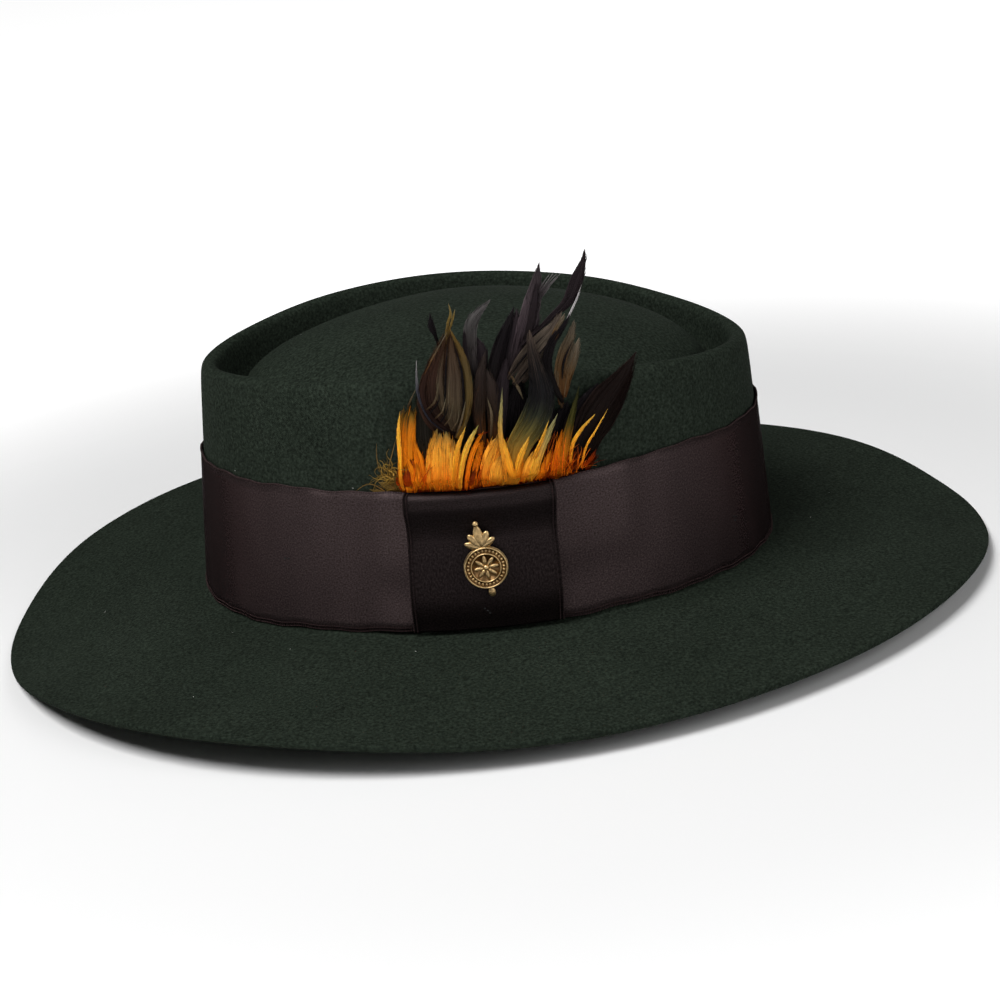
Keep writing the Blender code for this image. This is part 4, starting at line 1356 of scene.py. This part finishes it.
def rods(rod, places, width, offset):
    """Points of thin rods that follow places on the wall, from a place for each step of each rod."""
    points, _ = rod
    offset = np.broadcast_to(offset, places.shape[:2])
    step = np.round(points[:, 2] * (places.shape[1] - 1)).astype(int)
    way = unit(np.gradient(places, axis=1))
    across = np.stack((-way[..., 1], way[..., 0]), axis=-1)
    taper = (1 - ROD_TAPER * points[:, 2]) * width
    spread = places[:, step] + across[:, step] * (taper * points[:, 0])[..., None]
    return plume_points(spread, offset[:, step] + taper * points[:, 1])


def rod_tints(rod, root, tip, draw, count, spread=ROD_TONES):
    """Tints of rods from a root colour to a tip colour, each a little lighter or darker."""
    tint = mixed(root, tip, rod[0][:, 2])
    return np.clip(tint * draw.uniform(1 - spread, 1 + spread, (count, 1, 1)), 0, 1)


def rod_barbs(rod, draw, count):
    share = rod[0][:, 2] * ROD_STREAK + draw.uniform(0, 1, (count, 1))
    return np.stack((share, share, 0 * share), axis=-1)


def strands(lock, draw):
    """Fine strands that lie along a lock and part a little at its tip."""
    count = int(STRANDS_IN_SQUARE * lock.width) + 1
    size = (count, 1)
    side = draw.uniform(*STRAND_SIDE, size)
    steps = np.linspace(0, 1, STRAND_STEPS + 1)
    start = draw.uniform(*STRAND_START, size)
    share = start + (draw.uniform(*STRAND_END, size) - start) * steps
    middle, _, across = spine_frame(lock_spine(lock), share)
    full, half = half_widths(lock, share)
    parting = PARTING * full * np.maximum(share - PARTING_START, 0)
    places = middle + across * (side * (half + parting))[..., None]
    lift = draw.uniform(*STRAND_LIFT, size) * (STRAND_ROOT_LIFT + (1 - STRAND_ROOT_LIFT) * steps)
    offset = lock_out(lock, half, side, CUP * (1 - side**2)) + lift
    block = rods(STRAND, places, draw.uniform(*STRAND_WIDTH, size), offset)
    tone = np.exp(draw.normal(*STRAND_TONE, (count, 1, 1)))
    points = np.clip(start + (1 - start) * STRAND[0][:, 2], 0, 1)
    return block, np.clip(tint_at(lock.tint, points) * tone, 0, 1), rod_barbs(STRAND, draw, count)


def fringe(lock, gap, draw):
    """Fine loose barbs along both margins of a lock."""
    spine = lock_spine(lock)
    count = 2 * int(steps_between(spine).sum() / gap)
    size = (count, 1)
    share = draw.uniform(*FRINGE_SPAN, size)
    side = np.where(np.arange(count) % 2, 1.0, -1.0)[:, None]
    middle, way, across = spine_frame(spine, share)
    _, half = half_widths(lock, share)
    steps = np.linspace(0, 1, BARB_STEPS + 1)
    splay = np.radians(draw.normal(*BARB_SPLAY, size)) * (1 - (1 - BARB_TIP_SPLAY) * share)
    reach = (BARB_SHARE * half + draw.uniform(*BARB_REACH, size)) * np.minimum(1, half / THIN_LOCK)
    turn = splay * (1 - BARB_BEND * steps)
    ahead = reach * steps * np.cos(turn)
    aside = (FRINGE_START * half + reach * steps * np.sin(turn)) * side
    places = middle + way * ahead[..., None] + across * aside[..., None]
    out = lock_out(lock, half, side, BARB_CUP) + draw.uniform(*BARB_DEPTH, size)
    block = rods(BARB, places, draw.uniform(*BARB_WIDTH, size), out)
    tint = tint_at(lock.tint, share)
    tints = rod_tints(BARB, tint, tint * FRINGE_FADE, draw, count, FRINGE_TONES)
    return block, tints, rod_barbs(BARB, draw, count)


def down(settings, draw):
    """Bare barbs that stand up from the band's top, orange and red at their roots."""
    count = settings.loose_barbs
    size = (count, 1)
    spans = np.array(DOWN_SPANS)[draw.integers(0, len(DOWN_SPANS), size)]
    root = draw.uniform(spans[..., 0], spans[..., 1])
    length = draw.uniform(*DOWN_LENGTH, size) * between(DOWN_SHORTER, root)
    lean = np.radians(draw.normal(*DOWN_LEAN, size))
    steps = np.linspace(0, 1, BARB_STEPS + 1)
    turn = lean * (DOWN_TURN[0] + DOWN_TURN[1] * steps)
    x = root + length * steps * np.sin(turn)
    y = DOWN_LINE - DOWN_SLANT * root - length * steps * np.cos(turn)
    offset = PLUME_LAYER * draw.uniform(*DOWN_LAYER, size)
    places = chart_place(np.stack((x, y), axis=-1), offset)
    block = rods(BARB, places, draw.uniform(*DOWN_WIDTH, size), offset)
    warm = draw.uniform(0, 1, size)
    root_tint, tip_tint = (mixed(*np.array(colors), warm) for colors in (DOWN_ROOT, DOWN_TIP))
    return block, rod_tints(BARB, root_tint, tip_tint, draw, count), rod_barbs(BARB, draw, count)


def fluff(settings, draw):
    """Curled threads of fluff at the front foot of the plume."""
    count = settings.fluff
    size = (count, 1)
    steps = np.linspace(0, 1, CURL_STEPS + 1)
    x = draw.uniform(*FLUFF_X, size)
    y = draw.uniform(*FLUFF_Y, size)
    heading = draw.uniform(*FLUFF_HEADING, size)
    curl = draw.normal(*FLUFF_CURL, size)
    wave = draw.uniform(*ANY_PHASE, size)
    turn = heading + curl * steps + FLUFF_BEND * np.sin(FLUFF_BENDS * steps + wave)
    length = draw.uniform(*FLUFF_LENGTH, size) / CURL_STEPS
    x = x + np.cumsum(length * np.sin(turn), axis=1)
    y = np.minimum(y - np.cumsum(length * np.cos(turn), axis=1), FLUFF_FLOOR)
    offset = draw.uniform(*FLUFF_OUT, size) + FLUFF_SWAY * np.sin(FLUFF_SWAYS * steps + wave)
    block = rods(CURL, chart_place(np.stack((x, y), axis=-1), offset), FLUFF_WIDTH, offset)
    tint = np.array(FLUFF_ROOT) * draw.uniform(*FLUFF_TONE, (count, 1, 1))
    return block, rod_tints(CURL, tint, tint * FLUFF_TIP, draw, count), rod_barbs(CURL, draw, count)


def shafts(draw):
    """A fine shaft down the middle of each wide lock."""
    wide = [lock for lock in LOCKS if lock.width >= SHAFT_FROM]
    share = np.linspace(0, SHAFT_END, CURL_STEPS + 1)
    places = np.stack([curve(lock_spine(lock), share) for lock in wide])
    slim = between(OUTLINES["leaf"], share)
    offset = np.array([lock_out(lock, CHART_UNIT * lock.width / 2 * slim, 0, CUP) for lock in wide])
    tint = np.array([[tint_at(lock.tint, 0.5)] for lock in wide]) * SHAFT_TONE
    tints = rod_tints(CURL, tint, tint, draw, len(wide))
    return rods(CURL, places, SHAFT_WIDTH, offset), tints, rod_barbs(CURL, draw, len(wide))


def add_plume(settings):
    """Locks of feather with fine fringes and shafts, and bare barbs and fluff at their foot."""
    draw = np.random.default_rng(settings.seed)
    material = feather_material()
    locks = [lock_block(lock, draw) for lock in LOCKS]
    vanes = add_strands("plume_locks", LEAF, [np.stack(part) for part in zip(*locks)], material)
    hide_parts("feather_plume")
    fine = [strands(lock, draw) for lock in LOCKS]
    add_strands("plume_strands", STRAND, [np.concatenate(part) for part in zip(*fine)], material)
    fringes = [fringe(lock, settings.barb_gap, draw) for lock in LOCKS]
    add_strands("plume_fringe", BARB, [np.concatenate(part) for part in zip(*fringes)], material)
    add_strands("plume_barbs", BARB, down(settings, draw), material)
    add_strands("plume_fluff", CURL, fluff(settings, draw), material)
    add_strands("plume_shafts", CURL, shafts(draw), material)


def add_strands(name, rod, parts, material):
    """One piece of many strands, from their points, tints and barb places."""
    blocks, tints, barbs = parts
    mesh = repeated(name, rod[1], blocks)
    opaque = np.ones((*tints.shape[:2], 1))
    add_layer(mesh, "Tint", "FLOAT_COLOR", "color", np.concatenate((tints, opaque), axis=-1))
    add_layer(mesh, "Barb", "FLOAT_VECTOR", "vector", barbs)
    piece = new_object(name, mesh, material)
    return piece


def add_layer(mesh, name, kind, key, values):
    layer = mesh.attributes.new(name, kind, "POINT")
    layer.data.foreach_set(key, np.asarray(values, np.float32).ravel())


def badge_frame():
    """The badge's place: its middle on the keeper, X across, Y up along its tilt and Z straight out."""
    angle = trim_angle(BADGE_PLACE)
    height = BAND_SEAT + BADGE_HEIGHT
    inner = band_offset(BADGE_PLACE, band_top(angle))
    offset = inner + KEEPER_PUFF * PANEL_PUFF + 2 * (RIBBON_THICKNESS + FIT_GAP)
    out = Vector(wall_normal(angle, height))
    upwards = Vector(unit(rim_side(angle) - crown_foot(angle)))
    across = upwards.cross(out).normalized()
    place = Matrix.Translation(Vector(wall_point(angle, height, offset)))
    facing = Matrix((across, out.cross(across), out)).transposed().to_4x4()
    return place @ facing @ Matrix.Rotation(BADGE_TILT, 4, "Z")


def turned_disc(shape):
    """The badge's round field with its two raised rings, turned from a profile."""
    profile = [(0, 0), (BADGE_RADIUS, 0), (BADGE_RADIUS, BADGE_THICKNESS)]
    for ring in RINGS:
        for place, rise in RING_PROFILE:
            radius = BADGE_RADIUS * (ring.middle + ring.width / 2 * place)
            profile.append((radius, BADGE_THICKNESS + BADGE_RELIEF * ring.height * rise))
    profile.append((0, BADGE_THICKNESS))
    verts = [shape.verts.new((radius, 0, height)) for radius, height in profile]
    edges = [shape.edges.new(pair) for pair in zip(verts, verts[1:])]
    whole = {"axis": (0, 0, 1), "cent": (0, 0, 0), "angle": math.tau, "steps": TURN_STEPS, "use_merge": True}
    bmesh.ops.spin(shape, geom=verts + edges, **whole)
    bmesh.ops.remove_doubles(shape, verts=shape.verts, dist=WELD)
    bmesh.ops.recalc_face_normals(shape, faces=shape.faces)


def add_lump(shape, size, middle, turn=0, root=(0, 0, 0)):
    """A smooth lump, moved to its middle and then turned about its root."""
    placed = Matrix.Translation(root) @ Matrix.Rotation(turn, 4, "Z") @ Matrix.Translation(middle)
    matrix = placed @ Matrix.Diagonal((*size, 1))
    rings = {"u_segments": LUMP_SEGMENTS, "v_segments": LUMP_RINGS}
    bmesh.ops.create_uvsphere(shape, radius=0.5, matrix=matrix, **rings)


def add_badge(settings):
    """A cast brass pin: a rosette in two rings with beads between them, a sprig on top and a drop below."""
    shape = bmesh.new()
    turned_disc(shape)
    full = BADGE_THICKNESS + BADGE_RELIEF
    edge = BADGE_RADIUS * RINGS[0].middle
    add_lump(shape, BOSS, (0, 0, BADGE_THICKNESS))
    for petal in range(PETALS):
        add_lump(shape, PETAL, (0, PETAL_PLACE, BADGE_THICKNESS), math.tau * petal / PETALS)
    for bead in range(settings.beads):
        middle = (0, BADGE_RADIUS * BEAD_PLACE, BADGE_THICKNESS)
        add_lump(shape, BEAD, middle, math.tau * bead / settings.beads)
    for lean, length, width in LEAVES:
        size = (LEAF_WIDTH * width, LEAF_LENGTH * length, full)
        add_lump(shape, size, (0, size[1] / 2, full / 2), math.radians(lean), (0, edge, 0))
    add_lump(shape, (KNOB, KNOB, full), (0, edge + LEAF_LENGTH + KNOB_RISE, full / 2))
    add_lump(shape, (DROP_WIDTH, DROP_LENGTH, full), (0, -edge - DROP_LENGTH / 2, full / 2))
    bmesh.ops.transform(shape, matrix=badge_frame(), verts=shape.verts)
    badge = new_object("pin_badge", to_mesh("pin_badge", shape), brass_material(settings))
    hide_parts("badge")
    return badge


def add_floor(settings):
    """A wide pale floor that ends as white as the background."""
    shape = bmesh.new()
    bmesh.ops.create_grid(shape, x_segments=1, y_segments=1, size=FLOOR_SIZE)
    floor = bpy.data.objects.new("floor", to_mesh("floor", shape))
    material, shader = new_material("floor_paint")
    place = {0: object_place(material)}
    away = add_node(material, "ShaderNodeVectorMath", place, operation="LENGTH").outputs["Value"]
    span = {0: away, 1: FLOOR_NEAR, 2: FLOOR_FAR}
    far = add_node(material, "ShaderNodeMapRange", span, interpolation_type="SMOOTHSTEP")
    color = rgba(settings.floor_color)
    glow = {"Emission Color": color, "Emission Strength": far.outputs["Result"]}
    feed(material, shader, {"Base Color": color, **glow})
    floor.data.materials.append(material)
    bpy.context.scene.collection.objects.link(floor)


def add_light(lamp, power):
    """A square soft light that looks at the hat."""
    light = bpy.data.lights.new(lamp.name, "AREA")
    light.energy = power
    light.size = lamp.size
    holder = bpy.data.objects.new(lamp.name, light)
    holder.location = lamp.place
    holder.rotation_euler = (Vector(LIGHT_AIM) - Vector(lamp.place)).to_track_quat("-Z", "Y").to_euler()
    bpy.context.scene.collection.objects.link(holder)


def add_sky(settings):
    """A dim even light all round, which the camera sees as white."""
    world = bpy.data.worlds.new("sky")
    world.use_nodes = True
    light = feed(world, world.node_tree.nodes["Background"], {"Color": WHITE, "Strength": settings.sky})
    seen = add_node(world, "ShaderNodeBackground", {"Color": WHITE, "Strength": 1.0}, name="seen")
    ray = add_node(world, "ShaderNodeLightPath").outputs["Is Camera Ray"]
    both = {0: ray, 1: light.outputs["Background"], 2: seen.outputs["Background"]}
    chosen = add_node(world, "ShaderNodeMixShader", both).outputs["Shader"]
    feed(world, world.node_tree.nodes["World Output"], {"Surface": chosen})
    bpy.context.scene.world = world


def add_camera():
    """The camera at the photograph's angle."""
    lens = bpy.data.cameras.new("camera")
    lens.sensor_width = SENSOR
    lens.lens = LENS
    axes = camera_axes()
    camera = bpy.data.objects.new("camera", lens)
    facing = Matrix(axes).transposed().to_4x4()
    camera.matrix_world = Matrix.Translation(CAMERA_AIM + CAMERA_DISTANCE * axes[2]) @ facing
    bpy.context.scene.collection.objects.link(camera)
    bpy.context.scene.camera = camera


class HAT_OT_felt(bpy.types.Operator):
    """Add the felt crown and brim"""

    bl_idname = "hat.felt"
    bl_label = "Felt"

    def execute(self, context):
        add_felt_body(context.scene.hat_felt)
        return {"FINISHED"}


class HAT_OT_ribbon(bpy.types.Operator):
    """Add the ribbon band and its keeper"""

    bl_idname = "hat.ribbon"
    bl_label = "Ribbon"

    def execute(self, context):
        settings = context.scene.hat_ribbon
        band = add_ribbon_band(settings)
        picots = [band_picots(settings, loop_material("band_loops", settings.band_color))]
        keeper = add_ribbon_keeper(settings)
        # The keeper's loops take its colour, painted shade included.
        loops = keeper_picots(settings, loop_material("keeper_loops", settings.keeper_color))
        picots.append(tacks())
        band_length()
        return {"FINISHED"}


class HAT_OT_plume(bpy.types.Operator):
    """Add the feather plume"""

    bl_idname = "hat.plume"
    bl_label = "Plume"

    def execute(self, context):
        add_plume(context.scene.hat_plume)
        return {"FINISHED"}


class HAT_OT_badge(bpy.types.Operator):
    """Add the pin badge"""

    bl_idname = "hat.badge"
    bl_label = "Badge"

    def execute(self, context):
        add_badge(context.scene.hat_badge)
        return {"FINISHED"}


class HAT_OT_stage(bpy.types.Operator):
    """Add the floor, the lights and the camera"""

    bl_idname = "hat.stage"
    bl_label = "Stage"

    def execute(self, context):
        settings = context.scene.hat_stage
        add_floor(settings)
        add_sky(settings)
        for lamp in LAMPS:
            add_light(lamp, getattr(settings, f"{lamp.name}_power"))
        add_camera()
        context.scene.view_settings.view_transform = "Standard"
        return {"FINISHED"}


GROUPS = (
    ("hat_felt", FeltSettings, HAT_OT_felt),
    ("hat_ribbon", RibbonSettings, HAT_OT_ribbon),
    ("hat_plume", PlumeSettings, HAT_OT_plume),
    ("hat_badge", BadgeSettings, HAT_OT_badge),
    ("hat_stage", StageSettings, HAT_OT_stage),
)


class HAT_PT_panel(bpy.types.Panel):
    """Settings and buttons for each group of the hat's pieces"""

    bl_idname = "HAT_PT_panel"
    bl_label = "Hat"
    bl_space_type = "VIEW_3D"
    bl_region_type = "UI"
    bl_category = "Hat"

    def draw(self, context):
        for name, group, operator in GROUPS:
            box = self.layout.box()
            box.operator(operator.bl_idname)
            for key in group.__annotations__:
                box.prop(getattr(context.scene, name), key)


def register():
    for name, group, operator in GROUPS:
        bpy.utils.register_class(group)
        bpy.utils.register_class(operator)
        setattr(bpy.types.Scene, name, PointerProperty(type=group))
    bpy.utils.register_class(HAT_PT_panel)


def unregister():
    bpy.utils.unregister_class(HAT_PT_panel)
    for name, group, operator in reversed(GROUPS):
        delattr(bpy.types.Scene, name)
        bpy.utils.unregister_class(operator)
        bpy.utils.unregister_class(group)


def main():
    register()
    bpy.ops.hat.felt()
    bpy.ops.hat.ribbon()
    bpy.ops.hat.plume()
    bpy.ops.hat.badge()
    bpy.ops.hat.stage()


if __name__ == "__main__":
    main()
